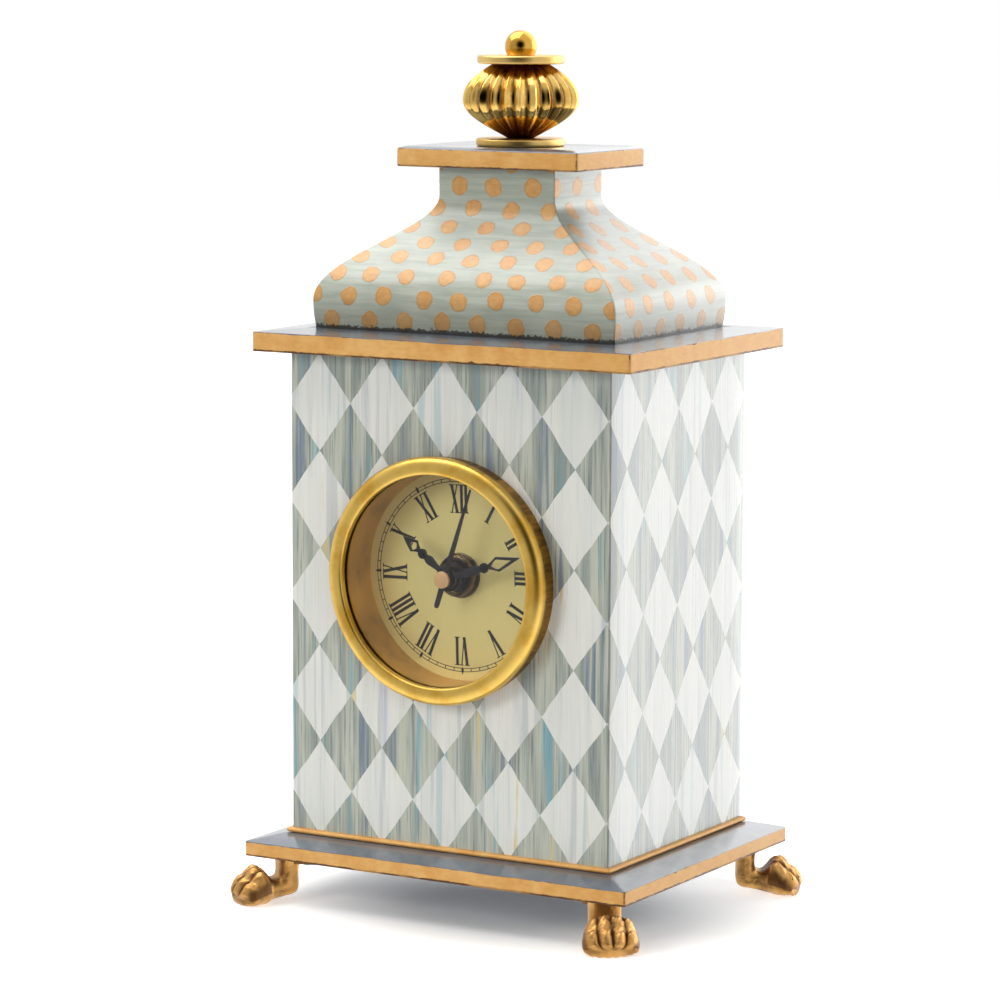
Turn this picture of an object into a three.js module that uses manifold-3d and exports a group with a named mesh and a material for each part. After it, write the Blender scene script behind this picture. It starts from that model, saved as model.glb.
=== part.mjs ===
// A desk clock: a painted wooden tower case on four cast paw feet, under an ogee roof with a brass finial,
// with the dial and a quartz movement in a deep brass drum, and a hinged door in the back. Millimetres, +Z
// up, the dial faces -Y, and the clock stands on z = 0 under the middle of its footprint.
import * as THREE from 'three';
import { mergeVertices } from 'three/addons/utils/BufferGeometryUtils.js';
import Module from 'manifold-3d';

const wasm = await Module();
wasm.setup();

// Case: four walls between the base slab and the cornice.
const caseWidth = 100;
const caseDepth = 77;
const caseHeight = 134;
const wall = 8;

// Base slab, cornice and cap: each has an upright gilded edge, and a top that rises from it to what it
// carries.
const baseOverhangX = 10;
const baseOverhangY = 9;
const baseEdge = 3.3;
const baseRise = 2.8;
const corniceOverhangX = 8.8;
const corniceOverhangY = 6;
const corniceEdge = 5.3;
const corniceRise = 0.9;
const capWidth = 56.6;
const capDepth = 37.8;
const capEdge = 5.2;
const capRise = 0.4;
const capSlope = 2;
const beadWidth = 1.3;
const beadHeight = 1.5;
const beadRound = 0.4;

// Ogee roof: half sizes at its belly, foot and neck, and the heights of the curve between them.
const roofBellyX = 46.7;
const roofBellyY = 31.2;
const roofTuck = 0.6;
const roofNeckX = 18.2;
const roofNeckY = 13.2;
const roofHeight = 43.9;
const roofBellyHeight = 7.5;
const roofNeckHeight = 36;
const roofBellyPull = 11.7;
const roofNeckPull = 9.3;
const roofSteps = 16;

// Finial, threaded on a rod that runs from the ball down into the case.
const lowerDiscRadius = 12.2;
const lowerDiscHeight = 2.1;
const melonRadius = 15.8;
const melonNeckRadius = 3.6;
const melonTopRadius = 7.6;
const melonHeight = 20.2;
const melonBellyHeight = 10.3;
const melonLowerSlope = [5, 2.9];
const melonLowerPull = 4.4;
const melonUpperPull = 3.9;
const melonUpperSlope = [4.2, 3.2];
const fluteCount = 24;
const fluteDepth = 1.1;
const melonSteps = 4;
const pointsPerFlute = 3;
const upperDiscRadius = 11.9;
const upperDiscHeight = 2.3;
const discEdge = 0.7;
const ballRadius = 4.4;
const ballHeight = 6.8;
const ballSteps = 7;
const rodRadius = 2;
const rodIntoBall = 3.4;
const rodBelowCornice = 4.2;
const rodNutAcross = 7;
const rodNutHeight = 3.2;
const rodWasherHeight = 0.8;
const rodWasherMargin = 1.2;

// Paw feet: a square shank at the slab, a lifted heel and a paw of four toes on the floor. The paw's side
// view is a list of [distance from the shank's axis, height, half width, depth of the grooves], from the
// instep over the knuckles to the toe tips. Each section across it is a dome, fuller than a half round by
// this power.
const footHeight = 12.6;
const shankLength = 5.8;
const shankWidth = 8.6;
const shankRound = 1.1;
const heelLift = 1.9;
const heelRound = 2.2;
const ballLift = 0.6;
const saddleHeight = 6.2;
const pawSections = [[4.4, 5.6, 4.1, 0], [7.9, 9.4, 5.2, 0.5], [9.4, 9.6, 6.1, 1], [12, 8, 7.1, 1.1],
  [14.2, 6, 7.6, 1], [15.5, 4, 7.7, 0.9], [16, 2.1, 7.7, 0.7]];
const pawPower = 2.6;
const toeCount = 4;
const toePoints = 4;
const toeSetBack = 2.4;
const tabLength = 11;
const tabWidth = 8;
const tabThickness = 1.5;
const tabFillet = 1.6;
const saddleRound = 1.2;
const saddleRise = 2.4;
const frontFoot = { insetX: 9.5, insetY: 6.5, turn: 52 };
const backFoot = { insetX: 5.5, insetY: 14.5, turn: 30 };
const footScrewRadius = 1.4;
const footScrewHeadRadius = 2.6;
const footScrewHeadHeight = 1.5;
const footScrewDepth = 3.6;
const footScrewFromEnd = 3.8;

// Brass drum in the front wall, with the glass, the sleeve and the dial inside it.
const dialAboveBase = 75.1;
const drumRadius = 33;
const drumProjection = 8.1;
const rimRoll = 2.1;
const rimSteps = 6;
const rimWidth = 4.2;
const lipThickness = 0.3;
const barrelShoulder = 1.8;
const barrelWall = 3;
const glassThickness = 1.5;
const dialThickness = 0.4;
const drumBackMargin = 2;
const drumBackThickness = 1.2;

// Hands: how far the front of each lies before the dial, and where it points, in degrees clockwise from
// twelve.
const hourRise = 6.4;
const minuteRise = 8;
const secondRise = 9.2;
const handThickness = 0.5;
const handCollarWall = 1;
const hourTurn = 306;
const minuteTurn = 72;
const secondTurn = 18;

// The hour and minute hands: places along the hand of the end of its stem, its bead, its diamond and its
// tip, the diamond's half width, the strips beside, before and behind its opening, and the hub's rim and
// depth.
const hourBlade = { stem: 4.2, bead: 10.2, diamond: 11.7, tip: 17.6, halfWidth: 1.9, sideStrip: 0.65,
  footStrip: 0.8, pointStrip: 2.5, hubRim: 1.2, hubBack: 1.6 };
const minuteBlade = { stem: 3.8, bead: 12.6, diamond: 14, tip: 24, halfWidth: 2.05, sideStrip: 0.7,
  footStrip: 0.9, pointStrip: 2.75, hubRim: 1.5, hubBack: 1.3 };
const stemFoot = 0.9;
const stemWaist = 0.75;
const stemSwell = 1.25;
const stemNeck = 0.7;
const handBeadRadius = 1.4;
const handBeadHalf = 0.5;
const shoulderShare = 0.3;

// The second hand: lengths from the axis and half widths of its tail and point, and its cap.
const secondTail = 8.4;
const secondTailEnd = 0.3;
const secondTailRound = 0.5;
const secondTailWide = 0.65;
const secondTailFull = 1.4;
const secondTailHalf = 0.7;
const secondRootHalf = 0.85;
const secondPoint = 26;
const secondPointHalf = 0.25;
const secondCapRadius = 2.5;
const secondCapHeight = 1;
const secondCapRound = 0.25;
const secondCapSocket = 0.3;

// Quartz movement: a square case with a gear chamber over a battery bay.
const movementSize = 56;
const movementDepth = 16;
const movementWall = 1.2;
const bushRadius = 3.9;
const bushLength = 5.6;
const dialNutRadius = 6;
const dialNutHeight = 2.4;
const dialWasherRadius = 6.6;
const dialWasherHeight = 0.5;
const batteryRadius = 7.1;
const batteryLength = 48.9;
const batteryNub = 1.3;
const batteryNubRadius = 2.75;
const batteryEdge = 0.5;
const bayHeight = 14.6;
const contactThickness = 0.4;
const contactWidth = 8;
const springHalf = 4.5;
const springFoot = 1;
const springTip = 0.8;

// Going train and motion work: tooth counts, the distances between axes, and flat layers one behind the
// other.
const rotorTeeth = 6;
const intermediateTeeth = 30;
const intermediatePinion = 6;
const secondsTeeth = 36;
const secondsPinion = 6;
const thirdTeeth = 45;
const thirdPinion = 6;
const centreTeeth = 48;
const minutePinion = 8;
const minuteTeeth = 24;
const minuteWheelPinion = 8;
const hourTeeth = 32;
const knobTeeth = 8;
const thirdDistance = 11.2;
const thirdBearing = 100;
const intermediateDistance = 8.4;
const intermediateBearing = 0;
const rotorDistance = 7.2;
const rotorBearing = 20;
const motionDistance = 10;
const minuteWheelBearing = 190;
const knobBearing = 150;
const gearThickness = 1;
const layerStep = 1.5;
const firstLayer = 1.6;
const tipRatio = 0.75;
const rootRatio = 1.28;
const flatShare = 0.07;
const arborRadius = 0.5;
const arborReach = 0.2;
const pipeReach = 0.3;
const pipeTail = 0.1;
const minutePipeRadius = 1.6;
const hourPipeRadius = 2.45;
const postRadius = 0.9;
const pillarRadius = 1.8;
const pillarInset = 3;
const plateInset = 1;
const bossWall = 0.9;
const pivotDepth = 0.8;
const magnetRadius = 2.6;
const magnetHeight = 1.5;
const magnetLead = 0.3;
const magnetGap = 0.6;
const statorThickness = 0.8;
const statorSetBack = 0.1;
const statorGap = 0.4;
const statorArm = 3;
const yokeOut = 1.6;
const yokeIn = 1.4;
const armPastCoil = 2;
const coilRadius = 2.6;
const coilLength = 20;
const coilX = 22.6;
const coilZ = 5;
const coilFlange = 0.8;
const coilFlangeRim = 0.4;
const coilCoreWidth = 2.4;
const coilCoreThickness = 1;
const coilCoreEnd = 3;
const circuitSize = 14;
const circuitThickness = 0.8;
const circuitInset = 1.6;
const chipRadius = 2.4;
const chipFoot = 0.3;
const chipHeight = 1;
const chipFromEdge = 3.84;
const chipBelowTop = 9.6;
const crystalRadius = 1;
const crystalLength = 6;
const crystalFromEdge = 3;
const knobRadius = 5.5;
const knobHeight = 3;
const knobGap = 0.5;
const knobRibs = 14;
const knobStemRadius = 1.2;

// Back door, its two hinges, its magnet, and its knob, as [radius, distance from the door].
const stileWidth = 17;
const railHeight = 17;
const doorGap = 0.6;
const doorThickness = 6;
const hingeHeight = 16;
const hingeLeafWidth = 8;
const hingeLeafThickness = 0.8;
const knuckleRadius = 1.3;
const knuckleGap = 0.3;
const hingePinRadius = 0.6;
const hingeFromEnd = 20;
const doorKnobProfile = [[3.2, 0], [3.2, 1], [2, 3], [4.3, 4.3], [5, 5.8], [4, 7.6], [0, 8.5]];
const doorKnobShank = 1.9;
const doorKnobInset = 9;
const catchLength = 14;
const catchDepth = 6;
const catchOverlap = 4;
const catchPlateThickness = 0.8;
const catchPlateMargin = 1.2;
const catchWallGap = 2;

// Clearances, and how finely round things are cut.
const seatGap = 0.2;
const runningGap = 0.05;
const endPlay = 0.2;
const bigRound = 44;
const discRound = 28;
const midRound = 24;
const smallRound = 12;
const tinyRound = 8;
const hexagon = 6;
const handRound = 16;
const knobRound = 18;
const weld = 1e-4;
const cutPast = 1;
const centreStep = 0.01;

// Heights and depths that follow from the sizes above.
const baseTop = footHeight + baseEdge + baseRise;
const caseTop = baseTop + caseHeight;
const dialHeight = baseTop + dialAboveBase;
const roofFoot = caseTop + corniceEdge + corniceRise;
const roofTop = roofFoot + roofHeight;
const capTop = roofTop + capEdge + capRise;
const melonFoot = capTop + lowerDiscHeight;
const melonTop = melonFoot + melonHeight;
const ballFoot = melonTop + upperDiscHeight;
const caseFront = -caseDepth / 2;
const caseBack = caseDepth / 2;
const lipRadius = drumRadius - rimWidth;
const spigotRadius = drumRadius - barrelShoulder;
const drumBoreRadius = drumRadius - barrelWall;
const drumBackRadius = drumRadius + drumBackMargin;
const dialFront = caseFront + wall - dialThickness;
const drumBackFront = caseFront + wall;
const movementFront = drumBackFront + drumBackThickness;
const glassFront = caseFront - drumProjection + rimRoll + lipThickness;
const caseMiddle = (baseTop + caseTop) / 2;
const doorOpeningWidth = caseWidth - 2 * stileWidth;
const doorOpeningHeight = caseHeight - 2 * railHeight;

function finish(color, roughness, metalness) {
  return new THREE.MeshStandardMaterial({ color, roughness, metalness });
}

const ivoryPaint = finish(0xe4e2d6, 0.3, 0);
const slatePaint = finish(0x8b93a0, 0.35, 0);
const sagePaint = finish(0xa9b0a2, 0.35, 0);
const rawBoard = finish(0xb08d64, 0.8, 0);
const gildedMetal = finish(0xb98b4a, 0.45, 0.8);
const brass = finish(0xc79a45, 0.22, 1);
const mattBrass = finish(0x9a7a48, 0.5, 0.8);
const dialGilt = finish(0xd8cd92, 0.4, 0.4);
const blackMetal = finish(0x1c1a1d, 0.35, 0.6);
const bronze = finish(0x4a3a2a, 0.35, 0.9);
const steel = finish(0xb8bcc0, 0.35, 1);
const blackPlastic = finish(0x202124, 0.5, 0);
const whitePlastic = finish(0xe8e6e0, 0.45, 0);
const copper = finish(0xb87333, 0.35, 1);
const greenBoard = finish(0x2f5d3a, 0.5, 0);
const batteryFoil = finish(0x3a4f7a, 0.35, 0.6);
const clearGlass = finish(0xffffff, 0.05, 0);
clearGlass.transparent = true;
clearGlass.opacity = 0.25;

function radians(degrees) {
  return THREE.MathUtils.degToRad(degrees);
}

// The volume inside a triangle list, negative where its faces point inwards.
function signedVolume(positions, triangles) {
  const corner = (i) => new THREE.Vector3().fromArray(positions, 3 * i);
  let six = 0;
  for (let i = 0; i < triangles.length; i += 3) {
    six += corner(triangles[i]).dot(corner(triangles[i + 1]).cross(corner(triangles[i + 2])));
  }
  return six / 6;
}

// A closed solid from a geometry: shared corners merged, empty triangles dropped, faces turned outwards.
function solid(geometry) {
  const bare = new THREE.BufferGeometry();
  bare.setAttribute('position', geometry.getAttribute('position'));
  if (geometry.index) bare.setIndex(geometry.index);
  const merged = mergeVertices(bare, weld);
  const corners = merged.index.array;
  const triangles = [];
  for (let i = 0; i < corners.length; i += 3) {
    const [a, b, c] = corners.slice(i, i + 3);
    if (a !== b && b !== c && c !== a) triangles.push(a, b, c);
  }
  const vertProperties = new Float32Array(merged.getAttribute('position').array);
  if (signedVolume(vertProperties, triangles) < 0) triangles.reverse();
  const triVerts = new Uint32Array(triangles);
  return new wasm.Manifold(new wasm.Mesh({ numProp: 3, vertProperties, triVerts }));
}

function joined(solids) {
  return solids.reduce((sum, next) => sum.add(next));
}

// The outline radius that leaves a round hole of this radius clear, whatever way a shaft in it is turned.
function holeRadius(radius, segments) {
  return radius / Math.cos(Math.PI / segments);
}

// A block between two corners.
function block([x0, y0, z0], [x1, y1, z1]) {
  const geometry = new THREE.BoxGeometry(x1 - x0, y1 - y0, z1 - z0);
  return solid(geometry.translate((x0 + x1) / 2, (y0 + y1) / 2, (z0 + z1) / 2));
}

// Round bars along Y and along Z, at a place across their length.
function barY(radius, y0, y1, segments = midRound, x = 0, z = 0) {
  const geometry = new THREE.CylinderGeometry(radius, radius, y1 - y0, segments);
  return solid(geometry.translate(x, (y0 + y1) / 2, z));
}

function barZ(radius, z0, z1, segments = midRound, x = 0, y = 0) {
  const geometry = new THREE.CylinderGeometry(radius, radius, z1 - z0, segments);
  return solid(geometry.rotateX(Math.PI / 2).translate(x, y, (z0 + z1) / 2));
}

// Turned pieces: a profile of [radius, place along the axis], closed on itself where it does not meet the
// axis.
function latheGeometry(profile, segments) {
  const meetsAxis = profile[0][0] === 0 && profile[profile.length - 1][0] === 0;
  const closed = meetsAxis ? profile : [...profile, profile[0]];
  return new THREE.LatheGeometry(closed.map(([radius, along]) => new THREE.Vector2(radius, along)), segments);
}

function turnedY(profile, segments = bigRound) {
  return solid(latheGeometry(profile, segments));
}

function turnedZ(profile, segments = bigRound) {
  return solid(latheGeometry(profile, segments).rotateX(Math.PI / 2));
}

// Cutting bars for round holes right through a piece from one face to the other, which stay clear for a
// shaft.
function boreY(radius, y0, y1, segments = midRound, x = 0, z = 0) {
  return barY(holeRadius(radius, segments), y0 - cutPast, y1 + cutPast, segments, x, z);
}

function boreZ(radius, z0, z1, segments = smallRound, x = 0, y = 0) {
  return barZ(holeRadius(radius, segments), z0 - cutPast, z1 + cutPast, segments, x, y);
}

// A disc along Y with a round hole that stays clear for a shaft.
function washerY(outer, inner, y0, y1, segments = midRound) {
  return barY(outer, y0, y1, segments).subtract(boreY(inner, y0, y1));
}

// Points on the curve between two ends, each given as a pair, that leaves and arrives by way of two others.
function curvePoints(start, leaving, arriving, end, steps) {
  const corners = [start, leaving, arriving, end].map(([x, y]) => new THREE.Vector2(x, y));
  return new THREE.CubicBezierCurve(...corners).getPoints(steps);
}

// A flat piece seen from the front: the shape's x and y become X and Z, and it fills Y from y0 to y1.
function frontPlate(shape, y0, y1, curveSegments = 12) {
  const geometry = new THREE.ExtrudeGeometry(shape, { depth: y1 - y0, bevelEnabled: false, curveSegments });
  return solid(geometry.rotateX(Math.PI / 2).translate(0, y1, 0));
}

function rectangle(x0, x1, z0, z1, Kind = THREE.Shape) {
  return new Kind([[x0, z0], [x1, z0], [x1, z1], [x0, z1]].map(([x, z]) => new THREE.Vector2(x, z)));
}

// A closed solid through rings of as many points each, with both ends closed round their middles.
function loft(rings) {
  const count = rings[0].length;
  const total = (ring) => ring.reduce((sum, point) => sum.add(point), new THREE.Vector3());
  const ends = [rings[0], rings[rings.length - 1]];
  const points = [...rings.flat(), ...ends.map((ring) => total(ring).divideScalar(count))];
  const last = (rings.length - 1) * count;
  const faces = [];
  for (let i = 0; i < count; i += 1) {
    const next = (i + 1) % count;
    for (let row = 0; row < last; row += count) {
      faces.push(row + i, row + next, row + count + next, row + i, row + count + next, row + count + i);
    }
    faces.push(next, i, points.length - 2, last + i, last + next, points.length - 1);
  }
  const geometry = new THREE.BufferGeometry().setFromPoints(points);
  geometry.setIndex(faces);
  return solid(geometry);
}

// A rectangular block whose half sizes change with height: levels of [half width, half depth, height].
function tiered(levels) {
  const corners = (x, y) => [[-x, -y], [x, -y], [x, y], [-x, y]];
  return loft(levels.map(([x, y, z]) => corners(x, y).map(([u, v]) => new THREE.Vector3(u, v, z))));
}

// Puts a solid into a group as a named mesh.
function place(parent, name, body, material, position = [0, 0, 0]) {
  const { vertProperties, triVerts } = body.getMesh();
  const geometry = new THREE.BufferGeometry();
  geometry.setAttribute('position', new THREE.BufferAttribute(vertProperties, 3));
  geometry.setIndex(new THREE.BufferAttribute(triVerts, 1));
  geometry.computeVertexNormals();
  const mesh = new THREE.Mesh(geometry, material);
  mesh.name = name;
  mesh.position.set(...position);
  parent.add(mesh);
  return mesh;
}

// The four feet: where each shank stands under the slab, and which way its paw points.
function footPlaces() {
  const corners = [['front_left', -1, -1, frontFoot], ['front_right', 1, -1, frontFoot],
    ['back_left', -1, 1, backFoot], ['back_right', 1, 1, backFoot]];
  return corners.map(([name, sideX, sideY, { insetX, insetY, turn }]) => ({
    name,
    x: sideX * (caseWidth / 2 + baseOverhangX - insetX),
    y: sideY * (caseDepth / 2 + baseOverhangY - insetY),
    turn: Math.atan2(sideY * Math.sin(radians(turn)), sideX * Math.cos(radians(turn))),
  }));
}

const screwOffset = -(tabLength - footScrewFromEnd);

function footScrewPlace({ x, y, turn }) {
  return [x + screwOffset * Math.cos(turn), y + screwOffset * Math.sin(turn)];
}

// Side view of the shank, heel and instep, from the slab down the heel and forward into the paw.
function legProfile() {
  const rear = -shankLength / 2;
  const [front] = pawSections[2];
  const shape = new THREE.Shape();
  shape.moveTo(rear, footHeight);
  shape.lineTo(rear, heelLift + heelRound);
  shape.quadraticCurveTo(rear, heelLift, rear + heelRound, heelLift);
  shape.lineTo(front, ballLift);
  shape.lineTo(front, saddleHeight);
  shape.lineTo(-rear + saddleRound, saddleHeight);
  shape.quadraticCurveTo(-rear, saddleHeight, -rear, saddleHeight + saddleRise);
  shape.lineTo(-rear, footHeight);
  return shape;
}

// Side view of the hollow curve between the shank and its tab.
function filletProfile() {
  const rear = -shankLength / 2;
  const tabFoot = footHeight - tabThickness;
  const shape = new THREE.Shape();
  shape.moveTo(rear + shankRound, tabFoot);
  shape.lineTo(rear - tabFillet, tabFoot);
  shape.quadraticCurveTo(rear, tabFoot, rear, tabFoot - tabFillet);
  shape.lineTo(rear + shankRound, tabFoot - tabFillet);
  return shape;
}

// The paw: dome-shaped sections, whose tops are scalloped into toes that draw back at the sides.
function paw() {
  const steps = toePoints * toeCount;
  const across = Array.from({ length: steps + 1 }, (_, i) => (2 * i) / steps - 1);
  const rings = pawSections.map(([along, height, halfWidth, depth]) => {
    const top = across.map((u) => {
      const groove = depth * Math.cos((Math.PI * toeCount * u) / 2) ** 2;
      const dome = height * (1 - Math.abs(u) ** pawPower) ** (1 / pawPower);
      const back = toeSetBack * u * u + groove / 2;
      return new THREE.Vector3(along - back, -u * halfWidth, Math.max(dome - groove, 0));
    });
    const sole = [[-1, along - toeSetBack], [1, along - toeSetBack]];
    return [...top, ...sole.map(([u, x]) => new THREE.Vector3(x, u * halfWidth, -cutPast))];
  });
  return loft(rings);
}

// A paw foot: shank, instep and paw cast in one with a screw tab that lies under the slab.
function foot() {
  const options = { depth: shankWidth - 2 * shankRound, bevelThickness: shankRound, bevelSize: shankRound,
    bevelOffset: -shankRound, bevelSegments: 1, curveSegments: 4 };
  const legGeometry = new THREE.ExtrudeGeometry(legProfile(), options);
  const leg = solid(legGeometry.rotateX(Math.PI / 2).translate(0, shankWidth / 2 - shankRound, 0));
  const tab = block([-tabLength, -tabWidth / 2, footHeight - tabThickness], [0, tabWidth / 2, footHeight]);
  const flat = shankWidth / 2 - shankRound;
  const fillet = frontPlate(filletProfile(), -flat, flat, 4);
  const hole = boreZ(footScrewRadius + seatGap, 0, footHeight, tinyRound, screwOffset);
  const aboveFloor = block([-2 * tabLength, -footHeight, 0], [2 * footHeight, footHeight, footHeight]);
  return joined([leg, paw(), tab, fillet]).intersect(aboveFloor).subtract(hole);
}

function footScrew() {
  const head = barZ(footScrewHeadRadius, -footScrewHeadHeight, 0, smallRound);
  return head.add(barZ(footScrewRadius, -footScrewHeadHeight / 2, tabThickness + footScrewDepth, tinyRound));
}

function baseSlab() {
  const outX = caseWidth / 2 + baseOverhangX;
  const outY = caseDepth / 2 + baseOverhangY;
  const flat = beadWidth + seatGap;
  const slab = tiered([[outX, outY, footHeight], [outX, outY, footHeight + baseEdge],
    [caseWidth / 2 + flat, caseDepth / 2 + flat, baseTop]]);
  const holeTop = footHeight + footScrewDepth + seatGap;
  const radius = holeRadius(footScrewRadius + seatGap, tinyRound);
  const hole = (spot) => barZ(radius, footHeight - cutPast, holeTop, tinyRound, ...footScrewPlace(spot));
  return slab.subtract(joined(footPlaces().map(hole)));
}

// A thin rounded bead, mitred round the foot of the case.
function footBead() {
  const [x, y] = [caseWidth / 2, caseDepth / 2];
  const [outX, outY] = [x + beadWidth, y + beadWidth];
  const top = baseTop + beadHeight;
  const outer = tiered([[outX, outY, baseTop], [outX, outY, top - beadRound],
    [outX - beadRound, outY - beadRound, top]]);
  return outer.subtract(block([-x, -y, baseTop - cutPast], [x, y, top + cutPast]));
}

function frontPanel() {
  const shape = rectangle(-caseWidth / 2, caseWidth / 2, baseTop, caseTop);
  const hole = new THREE.Path();
  hole.absarc(0, dialHeight, holeRadius(spigotRadius + seatGap, bigRound), 0, 2 * Math.PI);
  shape.holes.push(hole);
  return frontPlate(shape, caseFront, caseFront + wall, bigRound / 2);
}

function sidePanel(side) {
  const middle = side * (caseWidth - wall) / 2;
  return block([middle - wall / 2, caseFront + wall, baseTop], [middle + wall / 2, caseBack - wall, caseTop]);
}

function backFrame() {
  const shape = rectangle(-caseWidth / 2, caseWidth / 2, baseTop, caseTop);
  shape.holes.push(rectangle(-doorOpeningWidth / 2, doorOpeningWidth / 2, caseMiddle - doorOpeningHeight / 2,
    caseMiddle + doorOpeningHeight / 2, THREE.Path));
  return frontPlate(shape, caseBack - wall, caseBack);
}

const rodBore = rodRadius + seatGap;

function corniceSlab() {
  const outX = caseWidth / 2 + corniceOverhangX;
  const outY = caseDepth / 2 + corniceOverhangY;
  const slab = tiered([[outX, outY, caseTop], [outX, outY, caseTop + corniceEdge],
    [roofBellyX, roofBellyY, roofFoot]]);
  return slab.subtract(boreZ(rodBore, caseTop, roofFoot));
}

// The roof's half sizes at each height: a tucked-in foot, a full belly, an ogee sweep and an upright neck.
function roofLevels() {
  const sweep = curvePoints([1, roofBellyHeight], [1, roofBellyHeight + roofBellyPull],
    [0, roofNeckHeight - roofNeckPull], [0, roofNeckHeight], roofSteps);
  const { lerp } = THREE.MathUtils;
  const level = ({ x, y }) => [lerp(roofNeckX, roofBellyX, x), lerp(roofNeckY, roofBellyY, x), roofFoot + y];
  const foot = [roofBellyX - roofTuck, roofBellyY - roofTuck, roofFoot];
  return [foot, ...sweep.map(level), [roofNeckX, roofNeckY, roofTop]];
}

function roof() {
  return tiered(roofLevels()).subtract(boreZ(rodBore, roofFoot, roofTop));
}

function capSlab() {
  const [x, y] = [capWidth / 2, capDepth / 2];
  const slab = tiered([[x, y, roofTop], [x, y, roofTop + capEdge], [x - capSlope, y - capSlope, capTop]]);
  return slab.subtract(boreZ(rodBore, roofTop, capTop));
}

// A flat brass disc with rounded edges, bored for the rod.
function finialDisc(radius, bottom, height) {
  const top = bottom + height;
  const disc = turnedZ([[0, bottom], [radius - discEdge, bottom], [radius, bottom + discEdge],
    [radius, top - discEdge], [radius - discEdge, top], [0, top]], discRound);
  return disc.subtract(boreZ(rodBore, bottom, top));
}

// The fluted melon: a turned profile, full at the belly, whose rim is cut into hollow flutes with sharp
// ridges.
function finialMelon() {
  const [lowerOut, lowerUp] = melonLowerSlope;
  const [upperOut, upperDown] = melonUpperSlope;
  const belly = [melonRadius, melonBellyHeight];
  const below = curvePoints([melonNeckRadius, 0], [melonNeckRadius + lowerOut, lowerUp],
    [melonRadius, melonBellyHeight - melonLowerPull], belly, melonSteps);
  const above = curvePoints(belly, [melonRadius, melonBellyHeight + melonUpperPull],
    [melonTopRadius + upperOut, melonHeight - upperDown], [melonTopRadius, melonHeight], melonSteps);
  const profile = [...below, ...above.slice(1)];
  const count = fluteCount * pointsPerFlute;
  const rings = profile.map(({ x: radius, y: height }) => Array.from({ length: count }, (_, i) => {
    const angle = (2 * Math.PI * i) / count;
    const across = (2 * (i % pointsPerFlute)) / pointsPerFlute - 1;
    const fluted = radius - fluteDepth * (radius / melonRadius) * (1 - across * across);
    return new THREE.Vector3(fluted * Math.cos(angle), fluted * Math.sin(angle), melonFoot + height);
  }));
  return loft(rings).subtract(boreZ(rodBore, melonFoot, melonTop));
}

// A ball with a flat foot and a short blind hole for the rod's end.
function finialBall() {
  const middle = ballFoot + ballHeight - ballRadius;
  const footAngle = Math.asin((ballFoot - middle) / ballRadius);
  const curve = new THREE.EllipseCurve(0, middle, ballRadius, ballRadius, footAngle, Math.PI / 2);
  const round = curve.getPoints(ballSteps).map(({ x, y }) => [x, y]);
  const profile = [[0, ballFoot], ...round.slice(0, -1), [0, ballFoot + ballHeight]];
  const holeTop = ballFoot + rodIntoBall + seatGap;
  const hole = barZ(holeRadius(rodBore, smallRound), ballFoot - cutPast, holeTop, smallRound);
  return turnedZ(profile, midRound).subtract(hole);
}

function tieRodNut() {
  const across = rodNutAcross / Math.sqrt(3);
  const washerFoot = caseTop - rodWasherHeight;
  const washer = barZ(across + rodWasherMargin, washerFoot, caseTop, midRound);
  const nutFoot = washerFoot - rodNutHeight;
  const nut = barZ(across, nutFoot, washerFoot + rodWasherHeight / 2, hexagon);
  return washer.add(nut).subtract(boreZ(rodBore, nutFoot, caseTop));
}

// The drum: a rolled rim and barrel before the case, and a spigot through the wall, bored from behind up to
// the lip.
function bezelDrum() {
  const front = caseFront - drumProjection;
  const middle = (lipRadius + drumRadius) / 2;
  const half = drumRadius - middle;
  const roll = new THREE.EllipseCurve(middle, front + rimRoll, half, rimRoll, Math.PI, 2 * Math.PI);
  const bead = roll.getPoints(rimSteps).map(({ x, y }) => [x, y]);
  const rear = caseFront + wall;
  const bore = holeRadius(drumBoreRadius, bigRound);
  return turnedY([...bead, [drumRadius, caseFront], [spigotRadius, caseFront], [spigotRadius, rear],
    [bore, rear], [bore, glassFront], [lipRadius, glassFront]]);
}

function innerSleeve() {
  const outer = drumBoreRadius - seatGap;
  const front = glassFront + glassThickness;
  return turnedY([[outer, front], [outer, dialFront], [lipRadius, dialFront], [lipRadius, front]]);
}

// Half of a hand's outline, from the hub outwards, as [distance from the axis, half width], mirrored into a
// blade.
function bladeShape(half) {
  const right = half.map(([along, width]) => new THREE.Vector2(width, along));
  const left = half.slice().reverse().map(([along, width]) => new THREE.Vector2(-width, along));
  return new THREE.Shape([...right, ...left.filter(({ x }) => x !== 0)]);
}

// The outline of an ornate hand: swelling stem, round bead and an open diamond.
function ornateShape({ stem, bead, diamond, tip, halfWidth, sideStrip, footStrip, pointStrip }) {
  const shoulder = diamond + (tip - diamond) * shoulderShare;
  const shape = bladeShape([[0, stemFoot], [stem, stemWaist], [(stem + bead) / 2, stemSwell],
    [bead - 2 * handBeadHalf, stemNeck], [bead - handBeadHalf, handBeadRadius],
    [bead + handBeadHalf, handBeadRadius], [bead + 2 * handBeadHalf, stemNeck], [diamond, stemNeck],
    [shoulder, halfWidth], [tip, 0]]);
  const open = bladeShape([[diamond + footStrip, 0], [shoulder, halfWidth - sideStrip],
    [tip - pointStrip, 0]]);
  shape.holes.push(new THREE.Path(open.getPoints()));
  return shape;
}

// An ornate hand on a tall hub that grips its pipe.
function ornateHand(pipe, blade) {
  const plate = frontPlate(ornateShape(blade), 0, handThickness);
  const hub = barY(pipe + blade.hubRim, 0, handThickness, handRound);
  const collar = barY(pipe + handCollarWall, 0, blade.hubBack, handRound);
  return joined([plate, hub, collar]).subtract(boreY(pipe + runningGap, 0, blade.hubBack, handRound));
}

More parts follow.
